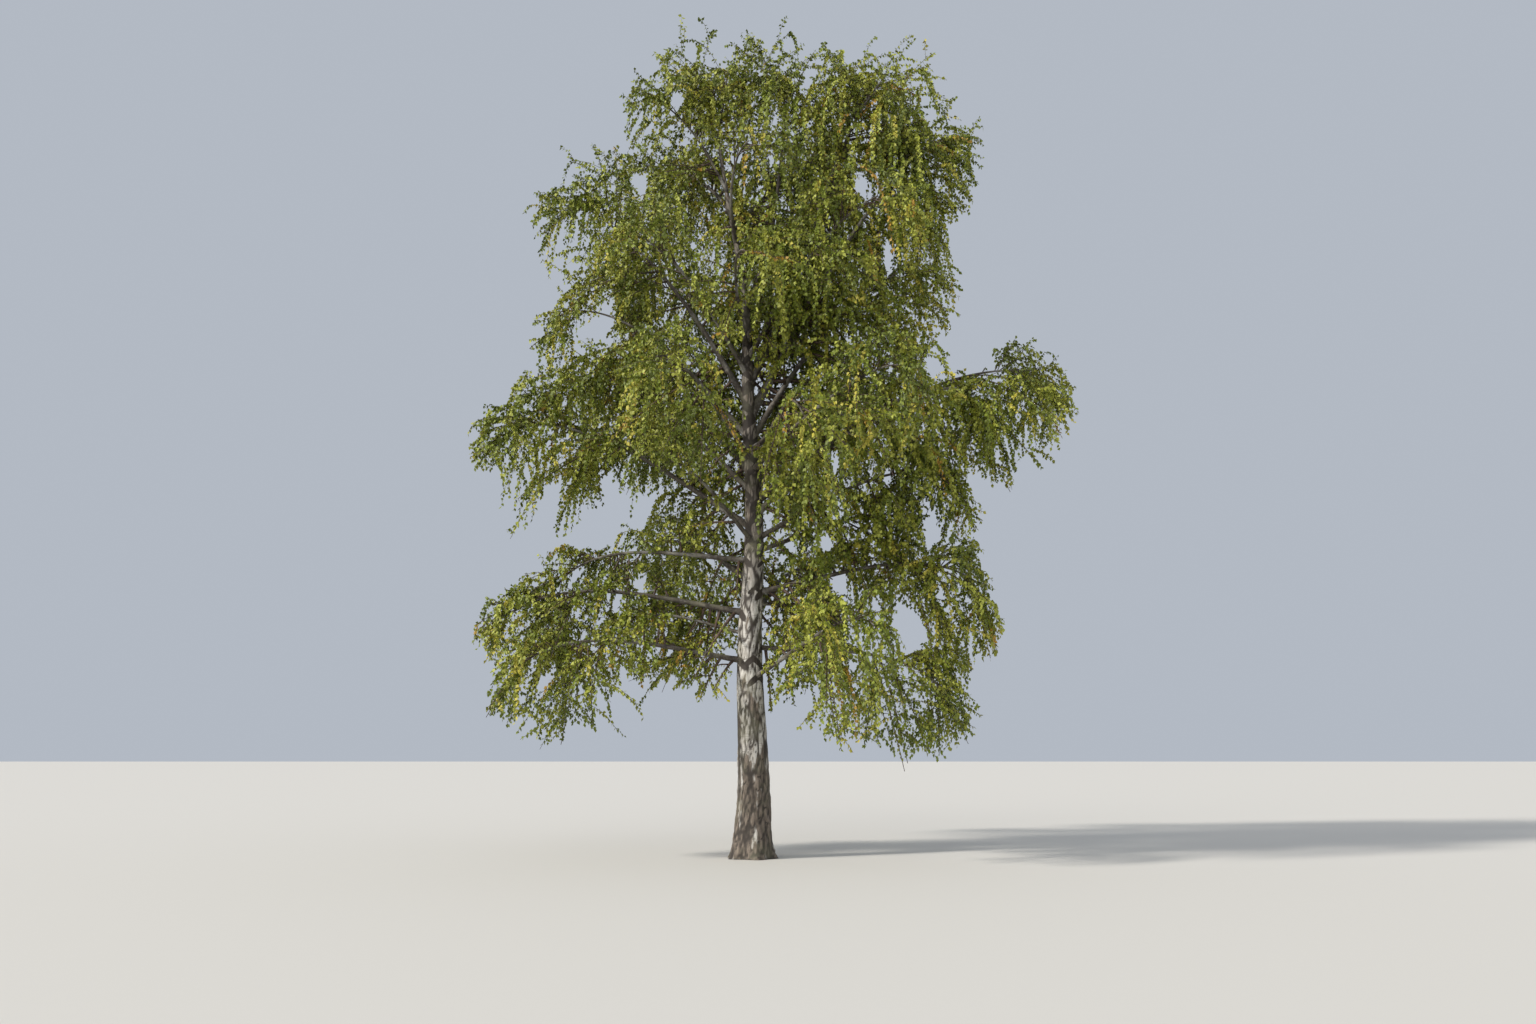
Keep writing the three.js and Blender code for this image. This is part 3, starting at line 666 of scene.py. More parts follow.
def cut_to_space(space, shoots, random):
    """Cuts each shoot to the part inside its space and clear of gaps and limbs, and drops short ones."""
    total = len(shoots)
    steps = np.linspace(0, 1, CUT_STEPS + 1)[1:]
    places = bezier(shoots, np.broadcast_to(steps, (total, CUT_STEPS)))
    margin = random.uniform(0, SHOOT_KEEPS_IN, (total, 1))
    bad = ~space.holds(places, margin) | in_gap(places, random.uniform(*GAP_FUZZY, (total, 1)))
    first_bad = np.where(bad.any(axis=1), bad.argmax(axis=1), CUT_STEPS)
    cut_at = first_bad / CUT_STEPS * random.uniform(CUT_SHORTER, 1, total)
    share = np.maximum(np.where(first_bad == CUT_STEPS, 1.0, cut_at), CUT_LEAST)[:, None]
    start = shoots[:, 0]
    cut = np.stack([start, lerp(start, shoots[:, 1], share), bezier(shoots, share)[:, 0]], axis=1)
    cut = cut[bent_length(cut) > SHOOT_LEAST]
    outer_shares = (0.5, 0.75, 1.0)
    tests = bezier(cut, np.broadcast_to(outer_shares, (len(cut), len(outer_shares))))
    touching = touches_limb(tests.reshape(-1, 3)).reshape(len(cut), -1).any(axis=1)
    return cut[~touching]


def set_leaves(space, shoots, spacing, random):
    """The leaves along each shoot: root, direction, upper side and the number of the shoot."""
    never_zero = 1e-6
    counts = np.maximum(2, (bent_length(shoots) / spacing).astype(int))
    owner = np.repeat(np.arange(len(shoots)), counts)
    order = np.concatenate([np.arange(count) for count in counts])
    total = len(order)
    beyond_first = (1 - FIRST_LEAF_AT) * (order + random.uniform(0, LEAF_SCATTER, total))
    roots, along = places_on(shoots[owner], FIRST_LEAF_AT + beyond_first / counts[owner])
    level = unit(np.cross(along, LEAF_ACROSS))
    turn = order * GOLDEN_ANGLE + random.uniform(0, 2 * math.pi, len(shoots))[owner]
    side = turned(level, along, turn)
    reach = random.uniform(*LEAF_SIDEWAYS, total)[:, None]
    drop = random.uniform(*LEAF_DROP, total)[:, None]
    out = unit(side * reach + along * LEAF_FORWARD - UP * drop)
    rolled = turned(side, along, random.uniform(-LEAF_ROLL, LEAF_ROLL, total))
    facing = unit(np.cross(out, rolled) + never_zero)
    facing = unit(facing + LEAF_TILT * random.normal(size=facing.shape))
    facing = unit(facing - out * (facing * out).sum(-1, keepdims=True))
    kept = space.holds(roots + out * LEAF_TEST_LENGTH)
    return roots[kept], out[kept], facing[kept], owner[kept]


def deal_tints(places, random):
    """The number of each spray's tint: neighbours tend to be alike, and each tint gets its share."""
    drift = drift_at(places, TINT_PATCH) + TINT_MIXING * random.normal(size=len(places))
    rank = np.argsort(np.argsort(drift)) / len(places)
    shares = np.cumsum([tint["share"] for tint in TINTS.values()])
    return np.searchsorted(shares / shares[-1], rank, side="right")


@functools.cache
def growth(twig_count, side_count, shoots_per_metre, longest_shoot, leaf_spacing):
    """All twigs, shoots and leaves of the crown, as arrays that the meshes are made from."""
    parts = []
    spray_total = 0
    for index, limb in enumerate(limbs()):
        random = np.random.default_rng(index + GROWTH_SEED)
        twigs, twig_roots = grow_twigs(limb, twig_count, random)
        side_twigs, side_roots = grow_side_twigs(limb.space, twigs, twig_roots, side_count, random)
        bearers = np.concatenate([twigs, side_twigs])
        shoots = grow_shoots(limb.space, bearers, shoots_per_metre, longest_shoot, random)
        sprays = np.concatenate([shoots, outer_part(bearers, TWIG_LEAFY_FROM)])
        roots, out, facing, owner = set_leaves(limb.space, sprays, leaf_spacing, random)
        clear = ~touches_limb(roots + LEAF_CLEARANCE * out)
        part = {
            "twigs": twigs,
            "twig_roots": twig_roots,
            "side_twigs": side_twigs,
            "side_roots": side_roots,
            "shoots": shoots,
            "roots": roots[clear],
            "out": out[clear],
            "facing": facing[clear],
            "spray": owner[clear] + spray_total,
            "sprays": sprays[:, 2],
        }
        parts.append(part)
        spray_total += len(sprays)
    return {key: np.concatenate([part[key] for part in parts]) for key in parts[0]}


def tube_arrays(curves, roots, tips, rings, sides):
    """Corners and triangles of many tapering tubes with closed ends."""
    nearly_upright = 0.9
    count = len(curves)
    shares = np.broadcast_to(np.linspace(0, 1, rings + 1), (count, rings + 1))
    middles = bezier(curves, shares)
    along = bezier_tangent(curves, shares)
    chord = unit(curves[:, -1] - curves[:, 0])
    upright = np.abs(chord[:, 2:]) > nearly_upright
    across = unit(np.cross(chord, np.where(upright, [1.0, 0.0, 0.0], UP)))[:, None]
    side = unit(across - along * (across * along).sum(-1, keepdims=True))
    over = np.cross(along, side)
    radius = lerp(roots[:, None], tips, shares)[:, :, None, None]
    angle = np.arange(sides) * 2 * math.pi / sides
    ring = side[:, :, None] * np.cos(angle)[:, None] + over[:, :, None] * np.sin(angle)[:, None]
    corners = (middles[:, :, None] + ring * radius).reshape(-1, 3)
    step = np.arange(sides)
    after = (step + 1) % sides
    level = (np.arange(rings) * sides)[:, None]
    low_here, low_next = level + step, level + after
    high_here, high_next = low_here + sides, low_next + sides
    wall = np.stack([low_here, low_next, high_next, low_here, high_next, high_here], axis=-1).reshape(-1, 3)
    fan = np.stack([np.zeros(sides - 2, int), np.arange(1, sides - 1), np.arange(2, sides)], axis=-1)
    caps = np.concatenate([fan[:, ::-1], fan + rings * sides])
    one = np.concatenate([wall, caps])
    every = np.arange(count)[:, None, None] * (rings + 1) * sides
    return corners, (one[None] + every).reshape(-1, 3)


def linked(name, data):
    """A new object in the scene, made of a mesh, a light or a camera."""
    made = bpy.data.objects.new(name, data)
    bpy.context.scene.collection.objects.link(made)
    return made


def mesh_piece(name, corners, triangles, uvs=None):
    """A piece from arrays of corners and triangles."""
    mesh = bpy.data.meshes.new(name)
    mesh.vertices.add(len(corners))
    mesh.vertices.foreach_set("co", corners.astype(np.float32).ravel())
    mesh.loops.add(triangles.size)
    mesh.loops.foreach_set("vertex_index", triangles.astype(np.int32).ravel())
    mesh.polygons.add(len(triangles))
    mesh.polygons.foreach_set("loop_start", np.arange(0, triangles.size, 3, dtype=np.int32))
    mesh.update(calc_edges=True)
    if uvs is not None:
        layer = mesh.uv_layers.new(name="UVMap")
        layer.uv.foreach_set("vector", uvs[triangles.ravel()].astype(np.float32).ravel())
    mesh.validate()
    return linked(name, mesh)


def joined_arrays(parts):
    """Several sets of corners and triangles as one."""
    corners = np.concatenate([part[0] for part in parts])
    starts = np.cumsum([0] + [len(part[0]) for part in parts[:-1]])
    triangles = np.concatenate([part[1] + start for part, start in zip(parts, starts)])
    return corners, triangles


def leaf_arrays(roots, out, facing, length, width, random):
    """Corners, triangles and UVs of leaves: kites with a long tip, folded a little along the midrib."""
    size = (length * random.uniform(*LEAF_SIZES, len(roots)))[:, None]
    across = np.cross(out, facing) * size * (width / 2)
    middle = roots + out * size * LEAF_WIDEST_AT
    lift = facing * size * LEAF_FOLD * random.uniform(LEAF_FOLD_LEAST, 1.0, len(roots))[:, None]
    tip = roots + out * size - UP * size * LEAF_TIP_DROOP
    corners = np.stack([roots, middle + across + lift, tip, middle - across + lift], axis=1).reshape(-1, 3)
    first = np.arange(len(roots))[:, None, None] * 4
    triangles = (np.array([[0, 1, 2], [0, 2, 3]])[None] + first).reshape(-1, 3)
    outline = [[0.5, 0.0], [1.0, LEAF_WIDEST_AT], [0.5, 1.0], [0.0, LEAF_WIDEST_AT]]
    return corners, triangles, np.tile(outline, (len(roots), 1))


def bark_relief(point, height, plates):
    """How deep the bark is fissured at a point, from 0 on a plate to 1 in a crack."""
    ridge_slope = 2.6
    cross_slope = 3.0
    finer = 1.9
    swirl_size = 0.35
    swirl_from = Vector((3.1, 0, 7.7))
    cross_from = Vector((9.2, 4.4, 1.3))
    stretched = Vector((point[0] * plates, point[1] * plates, height * plates * PLATE_LENGTH))
    swirl = swirl_size * noise.noise(stretched * 0.5 + swirl_from)
    ridge = abs(noise.noise(stretched + Vector((swirl, -swirl, 0)))) * ridge_slope
    cross = abs(noise.noise(stretched * finer + cross_from)) * cross_slope
    return max(0.0, 1 - min(ridge, cross))


def add_rod(mesh, layers, sides, rings, place):
    """A rolled grid, whose corners get their places and values from their angle and share along it."""
    weld = 1e-5
    made = bmesh.ops.create_grid(mesh, x_segments=sides, y_segments=rings, size=0.5, calc_uvs=True)
    for vert in made["verts"]:
        turn = (vert.co.x + 0.5) % 1.0
        vert.co, *values = place(2 * math.pi * turn, vert.co.y + 0.5)
        for layer, value in zip(layers, values):
            vert[layer] = value
    bmesh.ops.remove_doubles(mesh, verts=made["verts"], dist=weld)


def close_rods(mesh):
    """Closes the ends of the rods and turns their faces outwards."""
    ends = [edge for edge in mesh.edges if edge.is_boundary]
    bmesh.ops.holes_fill(mesh, edges=ends, sides=0)
    bmesh.ops.recalc_face_normals(mesh, faces=mesh.faces)


def finish_bmesh(name, mesh):
    """A smooth piece from a bmesh."""
    data = bpy.data.meshes.new(name)
    mesh.to_mesh(data)
    mesh.free()
    data.polygons.foreach_set("use_smooth", [True] * len(data.polygons))
    return linked(name, data)


def new_bark_mesh():
    """An empty bmesh with a UV layer and the two values that the bark materials read."""
    mesh = bmesh.new()
    mesh.loops.layers.uv.new("UVMap")
    return mesh, mesh.verts.layers.float.new("fissure"), mesh.verts.layers.float.new("scar")


def limb_scars():
    """The dark marks where limbs leave or once left the trunk: height, angle and size of each."""
    scars = []
    for limb in limbs():
        if limb.row.carried_by != "leader":
            leaving = limb.curve[1] - limb.curve[0]
            angle = math.atan2(leaving[1], leaving[0])
            scars.append((limb.row.leaves, angle, SCAR_SIZE * limb.root_radius))
    random = np.random.default_rng(SCAR_SEED)
    for level in np.arange(*SMALL_SCAR_LEVELS):
        height = level + random.uniform(-SMALL_SCAR_SWAY, SMALL_SCAR_SWAY)
        scars.append((height, random.uniform(-math.pi, math.pi), random.uniform(*SMALL_SCAR_SIZES)))
    return scars


def scar_at(scars, height, angle, radius):
    """How dark the marks make a place on the trunk: each is a chevron that hangs from a limb's collar."""
    far_up = 2.5
    far_round = 2.0
    top = 0.35
    slope = 0.75
    thickness = 0.42
    fades_at = 1.7
    darkness = 1.6
    softness = 1.2
    darkest = 0.0
    for scar_height, scar_angle, size in scars:
        up = height - scar_height
        if abs(up) > far_up * size:
            continue
        round_by = abs((angle - scar_angle + math.pi) % (2 * math.pi) - math.pi) * radius
        if round_by > far_round * size:
            continue
        off_chevron = abs(up - top * size + slope * round_by) / (thickness * size)
        fade = max(0.0, 1 - round_by / (fades_at * size))
        dark = min(1.0, max(0.0, darkness - softness * off_chevron)) * min(1.0, 2 * fade)
        darkest = max(darkest, dark)
    return darkest


def build_trunk(sizes):
    """The trunk with its fissured bark."""
    mesh, *layers = new_bark_mesh()
    scars = limb_scars()
    sides = 64
    rings = 400
    closer_at_foot = 1.12
    lumps = 0.02
    lumps_round = 1.2
    lumps_up = 1.5
    slim = 0.2

    def place(angle, share):
        height = TRUNK_TOP * share**closer_at_foot
        radius = trunk_radius(height, angle)
        middle = trunk_middle(height)
        rough = lerp(SMOOTH_BARK, 1, math.exp(-height / ROUGH_AT_FOOT))
        around = Vector((math.cos(angle), math.sin(angle), 0))
        crack = bark_relief(around * radius, height, TRUNK_PLATES)
        mark = scar_at(scars, height, angle, radius)
        depth = sizes.bark_relief * rough * crack + SCAR_DEPTH * mark
        bulge_at = Vector((around.x * lumps_round, around.y * lumps_round, height * lumps_up))
        lump = lumps * noise.noise(bulge_at)
        if share > 0:
            radius = radius * (1 + lump) - depth * min(1.0, radius / slim)
        return (middle[0] + radius * around.x, middle[1] + radius * around.y, height), crack, mark

    add_rod(mesh, layers, sides, rings, place)
    close_rods(mesh)
    return finish_bmesh("trunk_bark", mesh)


def add_limb(mesh, layers, limb, start, end, ring_length, relief):
    """The stretch of a limb between two shares of its curve, with its bark."""
    sides = 14
    rings = max(6, int((end - start) * limb.length / ring_length))
    lumps = 0.06
    slim = 0.05
    collar_dark = 0.25
    chord = unit(limb.curve[-1] - limb.curve[0])
    across = unit(np.cross(chord, UP))
    shares = start + (end - start) * np.linspace(0, 1, rings + 1)
    middles = bezier(limb.curve, shares)
    tangents = bezier_tangent(limb.curve, shares)

    def place(angle, along):
        ring = round(along * rings)
        share = shares[ring]
        tangent = tangents[ring]
        side = unit(across - tangent * across.dot(tangent))
        over = np.cross(tangent, side)
        around = side * math.cos(angle) + over * math.sin(angle)
        radius = float(limb.radius(share))
        crack = bark_relief(around * radius * 2, share * limb.length, LIMB_PLATES)
        radius *= 1 + lumps * noise.noise(Vector(middles[ring] * 3))
        radius -= relief * crack * min(1.0, radius / slim)
        return middles[ring] + around * radius, crack, max(0.0, 1 - share * limb.length / collar_dark)

    add_rod(mesh, layers, sides, rings, place)


def build_limbs(name, stretches, ring_length, relief):
    """A piece of limbs, each from one share of its curve to another."""
    mesh, *layers = new_bark_mesh()
    for limb, start, end in stretches:
        add_limb(mesh, layers, limb, start, end, ring_length, relief)
    close_rods(mesh)
    return finish_bmesh(name, mesh)


def node_group(name, inputs, outputs):
    """A shader group with its named sockets and its two end nodes, ready for the nodes between."""
    group = bpy.data.node_groups.new(name, "ShaderNodeTree")
    for in_out, sockets in (("INPUT", inputs), ("OUTPUT", outputs)):
        for label, kind in sockets.items():
            group.interface.new_socket(label, in_out=in_out, socket_type="NodeSocket" + kind)
    return group, group.nodes.new("NodeGroupInput"), group.nodes.new("NodeGroupOutput")


def add_node(tree, kind, **values):
    """A node with its settings, and with its input sockets set or linked by name or number."""
    node = tree.nodes.new("ShaderNode" + kind)
    sockets = values.pop("sockets", {})
    for key, value in values.items():
        setattr(node, key, value)
    for key, value in sockets.items():
        if isinstance(value, bpy.types.NodeSocket):
            tree.links.new(value, node.inputs[key])
        else:
            node.inputs[key].default_value = value
    return node


def maths(tree, operation, first, second=None):
    """The output of a Math node."""
    sockets = {0: first}
    if second is not None:
        sockets[1] = second
    return add_node(tree, "Math", operation=operation, sockets=sockets).outputs[0]


def between(tree, value, low, high):
    """A value's place between a low and a high one, eased, as a mask."""
    sockets = {"Value": value, "From Min": low, "From Max": high}
    return add_node(tree, "MapRange", interpolation_type="SMOOTHSTEP", sockets=sockets).outputs["Result"]


def mixed(tree, share, first, second):
    """The output of a colour mix."""
    node = add_node(tree, "Mix", data_type="RGBA", sockets={0: share, 6: first, 7: second})
    return node.outputs[2]


def noise_texture(tree, vector, scale, detail, roughness):
    """The value of a Noise Texture node."""
    sockets = {"Vector": vector, "Scale": scale, "Detail": detail, "Roughness": roughness}
    return add_node(tree, "TexNoise", sockets=sockets).outputs[0]


def stretched_noise(tree, vector, scale, upward, detail, roughness=0.55):
    """Noise on a vector that is scaled upward."""
    stretch = {"Vector": vector, "Scale": (1.0, 1.0, upward)}
    mapping = add_node(tree, "Mapping", sockets=stretch)
    return noise_texture(tree, mapping.outputs[0], scale, detail, roughness)


@functools.cache
def grain_group():
    """Fine upright grain: a mask and a height."""
    group, start, end = node_group(
        "bark_grain",
        {"Vector": "Vector", "Scale": "Float", "Upward": "Float"},
        {"Mask": "Float", "Height": "Float"},
    )
    scale = add_node(group, "CombineXYZ", sockets={0: 1.0, 1: 1.0, 2: start.outputs["Upward"]})
    factors = {0: start.outputs["Vector"], 1: scale.outputs[0]}
    stretched = add_node(group, "VectorMath", operation="MULTIPLY", sockets=factors).outputs[0]
    fine = noise_texture(group, stretched, start.outputs["Scale"], detail=6.0, roughness=0.62)
    group.links.new(between(group, fine, 0.38, 0.68), end.inputs["Mask"])
    group.links.new(fine, end.inputs["Height"])
    return group


@functools.cache
def weather_group():
    """Lichen and dirt in soft blotches over a colour."""
    group, start, end = node_group(
        "weathering",
        {"Vector": "Vector", "Color": "Color", "Blotch": "Color", "Scale": "Float", "Amount": "Float"},
        {"Color": "Color", "Roughness": "Float"},
    )
    smoothest = 0.62
    roughening = 0.3
    vector = start.outputs["Vector"]
    blotches = noise_texture(group, vector, start.outputs["Scale"], detail=5.0, roughness=0.6)
    mask = maths(group, "MULTIPLY", between(group, blotches, 0.46, 0.66), start.outputs["Amount"])
    colour = mixed(group, mask, start.outputs["Color"], start.outputs["Blotch"])
    roughness = maths(group, "ADD", maths(group, "MULTIPLY", blotches, roughening), smoothest)
    group.links.new(colour, end.inputs["Color"])
    group.links.new(roughness, end.inputs["Roughness"])
    return group


@functools.cache
def leaf_group():
    """The veins of a leaf on its own UV map: its roughness and its height."""
    group, start, end = node_group(
        "leaf_veins",
        {"Vector": "Vector", "Gloss": "Float"},
        {"Roughness": "Float", "Height": "Float"},
    )
    slant = -0.9
    spacing = 0.06
    steepness = 16.0
    midrib_width = 0.05
    roughening = 0.12
    split = add_node(group, "SeparateXYZ", sockets={0: start.outputs["Vector"]})
    off_midrib = maths(group, "ABSOLUTE", maths(group, "SUBTRACT", split.outputs[0], 0.5))
    slanted = maths(group, "ADD", maths(group, "MULTIPLY", off_midrib, slant), split.outputs[1])
    veins = maths(group, "MULTIPLY", maths(group, "PINGPONG", slanted, spacing), steepness)
    height = maths(group, "MULTIPLY", between(group, off_midrib, 0.0, midrib_width), veins)
    roughness = maths(group, "ADD", maths(group, "MULTIPLY", height, roughening), start.outputs["Gloss"])
    group.links.new(roughness, end.inputs["Roughness"])
    group.links.new(height, end.inputs["Height"])
    return group


def new_material(name):
    """A material with only its Principled shader and output."""
    material = bpy.data.materials.new(name)
    material.use_nodes = True
    tree = material.node_tree
    return material, tree, tree.nodes["Principled BSDF"]


def place_group(tree, group, **sockets):
    """A group node with its sockets set or linked."""
    return add_node(tree, "Group", node_tree=group, sockets=sockets)


def bump(tree, shader, height, distance, strength):
    """Joins a height to the shader's normal."""
    sockets = {"Height": height, "Distance": distance, "Strength": strength}
    tree.links.new(add_node(tree, "Bump", sockets=sockets).outputs[0], shader.inputs["Normal"])


def bark_start(name, grain_scale, grain_upward):
    """A new bark material: itself, its tree, shader and vector, the bark's fissures and its grain."""
    material, tree, shader = new_material(name)
    vector = add_node(tree, "TexCoord").outputs["Object"]
    fissure = add_node(tree, "Attribute", attribute_name="fissure").outputs["Fac"]
    grain = place_group(tree, grain_group(), Vector=vector, Scale=grain_scale, Upward=grain_upward)
    return material, tree, shader, vector, fissure, grain


def bark_end(tree, shader, vector, bark, lichen, scale, amount):
    """Weathers a bark colour and joins it to the shader."""
    weather = place_group(
        tree, weather_group(), Vector=vector, Color=bark, Blotch=lichen, Scale=scale, Amount=amount
    )
    tree.links.new(weather.outputs["Color"], shader.inputs["Base Color"])
    tree.links.new(weather.outputs["Roughness"], shader.inputs["Roughness"])


def trunk_material(colours):
    """Fissured brown bark at the foot, white plates with dark marks above it, and darker bark higher up,
    partly greyer bark and partly painted shade from the crown.
    """
    material, tree, shader, vector, fissure, grain = bark_start(
        "trunk_bark", grain_scale=26.0, grain_upward=0.22
    )
    wander_size = 1.6
    whitening_size = 0.27
    crown_grey_and_shade = 0.8
    dash_darkness = 0.55
    fraying = 0.5
    height = add_node(tree, "SeparateXYZ", sockets={0: vector}).outputs[2]
    scar = add_node(tree, "Attribute", attribute_name="scar").outputs["Fac"]
    drift = stretched_noise(tree, vector, scale=1.6, upward=0.7, detail=3.0)
    wander = maths(tree, "MULTIPLY", maths(tree, "SUBTRACT", drift, 0.5), wander_size)
    warped = maths(tree, "ADD", height, wander)
    diamonds = stretched_noise(tree, vector, scale=9.0, upward=0.24, detail=2.5, roughness=0.5)
    whitening = maths(tree, "MULTIPLY", between(tree, warped, *WHITE_BARK), whitening_size)
    white = between(tree, maths(tree, "ADD", diamonds, whitening), 0.63, 0.69)
    # Painted shade: inside the crown the white fades to the dark plates. This stands partly for greyer bark
    # and partly for the crown's shade on the trunk.
    grey_and_shade = maths(tree, "MULTIPLY", between(tree, warped, *CROWN_GREY_AND_SHADE), crown_grey_and_shade)
    white = maths(tree, "MULTIPLY", white, maths(tree, "SUBTRACT", 1.0, grey_and_shade))
    plates = mixed(tree, grain.outputs["Mask"], colours.bark_dark, colours.bark_plate)
    pale = mixed(tree, grain.outputs["Mask"], colours.bark_shade, colours.bark_white)
    bark = mixed(tree, white, plates, pale)
    lenticels = stretched_noise(tree, vector, scale=5.0, upward=9.0, detail=3.0, roughness=0.5)
    dashes = maths(tree, "MULTIPLY", between(tree, lenticels, 0.6, 0.66), dash_darkness)
    bark = mixed(tree, maths(tree, "MULTIPLY", dashes, white), bark, colours.bark_dark)
    bark = mixed(tree, between(tree, fissure, 0.45, 0.95), bark, colours.bark_crack)
    frayed = maths(tree, "ADD", scar, maths(tree, "MULTIPLY", drift, fraying))
    bark = mixed(tree, between(tree, frayed, 0.55, 0.8), bark, colours.bark_crack)
    bark_end(tree, shader, vector, bark, colours.lichen, scale=2.4, amount=0.35)
    bump(tree, shader, grain.outputs["Height"], distance=0.012, strength=0.8)
    return material


def limb_material(name, colours, pale_share):
    """Dull bark with pale stretches, for the boughs and the stems."""
    material, tree, shader, vector, fissure, grain = bark_start(
        name, grain_scale=34.0, grain_upward=0.6
    )
    crack_darkness = 0.7
    bark = mixed(tree, grain.outputs["Mask"], colours.bough_dark, colours.bough_plate)
    patches = stretched_noise(tree, vector, scale=2.2, upward=1.0, detail=4.0)
    pale = maths(tree, "MULTIPLY", between(tree, patches, 0.5, 0.62), pale_share)
    bark = mixed(tree, pale, bark, colours.bark_white)
    bark = mixed(tree, maths(tree, "MULTIPLY", fissure, crack_darkness), bark, colours.bark_crack)
    bark_end(tree, shader, vector, bark, colours.lichen, scale=3.5, amount=0.4)
    bump(tree, shader, grain.outputs["Height"], distance=0.006, strength=0.7)
    return material


def twig_material(name, colours):
    """Thin smooth bark that runs from purple-brown to a lighter brown."""
    material, tree, shader = new_material(name)
    vector = add_node(tree, "TexCoord").outputs["Object"]
    grain = place_group(tree, grain_group(), Vector=vector, Scale=18.0, Upward=1.0)
    bark = mixed(tree, grain.outputs["Mask"], colours.twig_dark, colours.twig_light)
    tree.links.new(bark, shader.inputs["Base Color"])
    shader.inputs["Roughness"].default_value = 0.6
    bump(tree, shader, grain.outputs["Height"], distance=0.002, strength=0.5)
    return material


def leaf_material(name, colour):
    """A leaf of one plain tint, with the gloss and relief of its veins."""
    material, tree, shader = new_material(name)
    shader.inputs["Base Color"].default_value = (*colour, 1)
    vector = add_node(tree, "UVMap", uv_map="UVMap").outputs[0]
    veins = place_group(tree, leaf_group(), Vector=vector, Gloss=0.42)
    tree.links.new(veins.outputs["Roughness"], shader.inputs["Roughness"])
    bump(tree, shader, veins.outputs["Height"], distance=0.002, strength=0.6)
    return material


def finish_piece(piece, material, nodes):
    """Gives a piece its material, its body and the solids that it stands for."""
    piece.data.materials.append(material)
    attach(piece, "root")
    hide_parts(*nodes)


FOLIAGE_NODES = ["foliage_" + row.name for row in CROWN]
BOUGH_NODES = ["bough_" + row.name for row in CROWN if row.carried_by == "bough"]


def colour_property(name, description, default):
    """A colour in the panel."""
    return bpy.props.FloatVectorProperty(
        name=name, description=description, subtype="COLOR", size=4, min=0, max=1, default=(*default, 1)
    )


def length_property(name, description, default):
    """A length in the panel."""
    return bpy.props.FloatProperty(
        name=name, description=description, default=default, min=0, subtype="DISTANCE", unit="LENGTH"
    )


def count_property(name, description, default):
    """A whole number in the panel."""
    return bpy.props.IntProperty(name=name, description=description, default=default, min=1)


def number_property(name, description, default, subtype="NONE"):
    """A plain number in the panel."""
    return bpy.props.FloatProperty(
        name=name, description=description, default=default, min=0.1, subtype=subtype
    )


class BirchSizes(bpy.types.PropertyGroup):
    """The sizes and counts of the birch."""

    bark_relief: length_property("Bark relief", "Depth of the fissures at the foot of the trunk", 0.024)
    twig_count: count_property("Twigs", "Twigs on a metre of stem", 6)
    side_twig_count: count_property("Side twigs", "Side twigs on each twig", 4)
    shoots_per_metre: number_property("Shoots a metre", "Hanging shoots on a metre of twig", 4.4)
    longest_shoot: length_property("Longest shoot", "Length of the longest hanging shoot", 1.6)
    leaf_spacing: length_property("Leaf spacing", "Distance between the leaves on a shoot", 0.034)
    leaf_length: length_property("Leaf length", "Length of a middling leaf", 0.064)
    leaf_width: number_property("Leaf width", "Width of a leaf as a share of its length", 0.82, "FACTOR")


class BirchColours(bpy.types.PropertyGroup):
    """The colours of the bark and the twigs."""

    bark_white: colour_property("White bark", "Clean white bark", (0.60, 0.58, 0.54))
    bark_shade: colour_property("Grey bark", "Greyer stretches of the white bark", (0.36, 0.335, 0.30))
    bark_plate: colour_property("Bark plates", "Raised plates at the foot", (0.235, 0.19, 0.15))
    bark_dark: colour_property("Dark bark", "Dark bark between the plates", (0.095, 0.075, 0.058))
    bark_crack: colour_property("Cracks", "Cracks and the marks over the limbs", (0.035, 0.027, 0.021))
    lichen: colour_property("Lichen", "Green-grey film on the bark", (0.19, 0.185, 0.12))
    bough_dark: colour_property("Dark boughs", "The darker bark of the boughs", (0.055, 0.045, 0.036))
    bough_plate: colour_property("Boughs", "The lighter bark of the boughs", (0.17, 0.145, 0.115))
    twig_dark: colour_property("Dark twigs", "The darker bark of the twigs", (0.05, 0.032, 0.026))
    twig_light: colour_property("Twigs", "The lighter bark of the twigs", (0.14, 0.09, 0.06))


class BirchOperator(bpy.types.Operator):
    """Shared by the birch's operators."""

    bl_options = {"REGISTER", "UNDO"}

    def grown(self, context):
        """The crown's arrays for the panel's sizes."""
        sizes = context.scene.birch_sizes
        twig_count = sizes.twig_count
        shoots = (sizes.shoots_per_metre, sizes.longest_shoot, sizes.leaf_spacing)
        return growth(twig_count, sizes.side_twig_count, *shoots)


class BIRCH_OT_trunk(BirchOperator):
    """Builds the trunk with its fissured white bark"""

    bl_idname = "birch.trunk"
    bl_label = "Trunk"

    def execute(self, context):
        trunk = build_trunk(context.scene.birch_sizes)
        finish_piece(trunk, trunk_material(context.scene.birch_colours), ["trunk"])
        return {"FINISHED"}


class BIRCH_OT_boughs(BirchOperator):
    """Builds the bare boughs and the stems that carry the foliage"""

    bl_idname = "birch.boughs"
    bl_label = "Boughs and stems"

    def execute(self, context):
        relief = context.scene.birch_sizes.bark_relief
        colours = context.scene.birch_colours
        bare = [(limb, 0.0, limb.enters) for limb in limbs() if limb.row.carried_by == "bough"]
        boughs = build_limbs("boughs", bare, BOUGH_RING_LENGTH, relief * BOUGH_RELIEF)
        finish_piece(boughs, limb_material("bough_bark", colours, BOUGH_PALE), BOUGH_NODES)
        leafy = [(limb, limb.enters if limb.row.carried_by == "bough" else 0.0, 1.0) for limb in limbs()]
        stems = build_limbs("stems", leafy, STEM_RING_LENGTH, relief * STEM_RELIEF)
        finish_piece(stems, limb_material("stem_bark", colours, STEM_PALE), FOLIAGE_NODES)
        return {"FINISHED"}


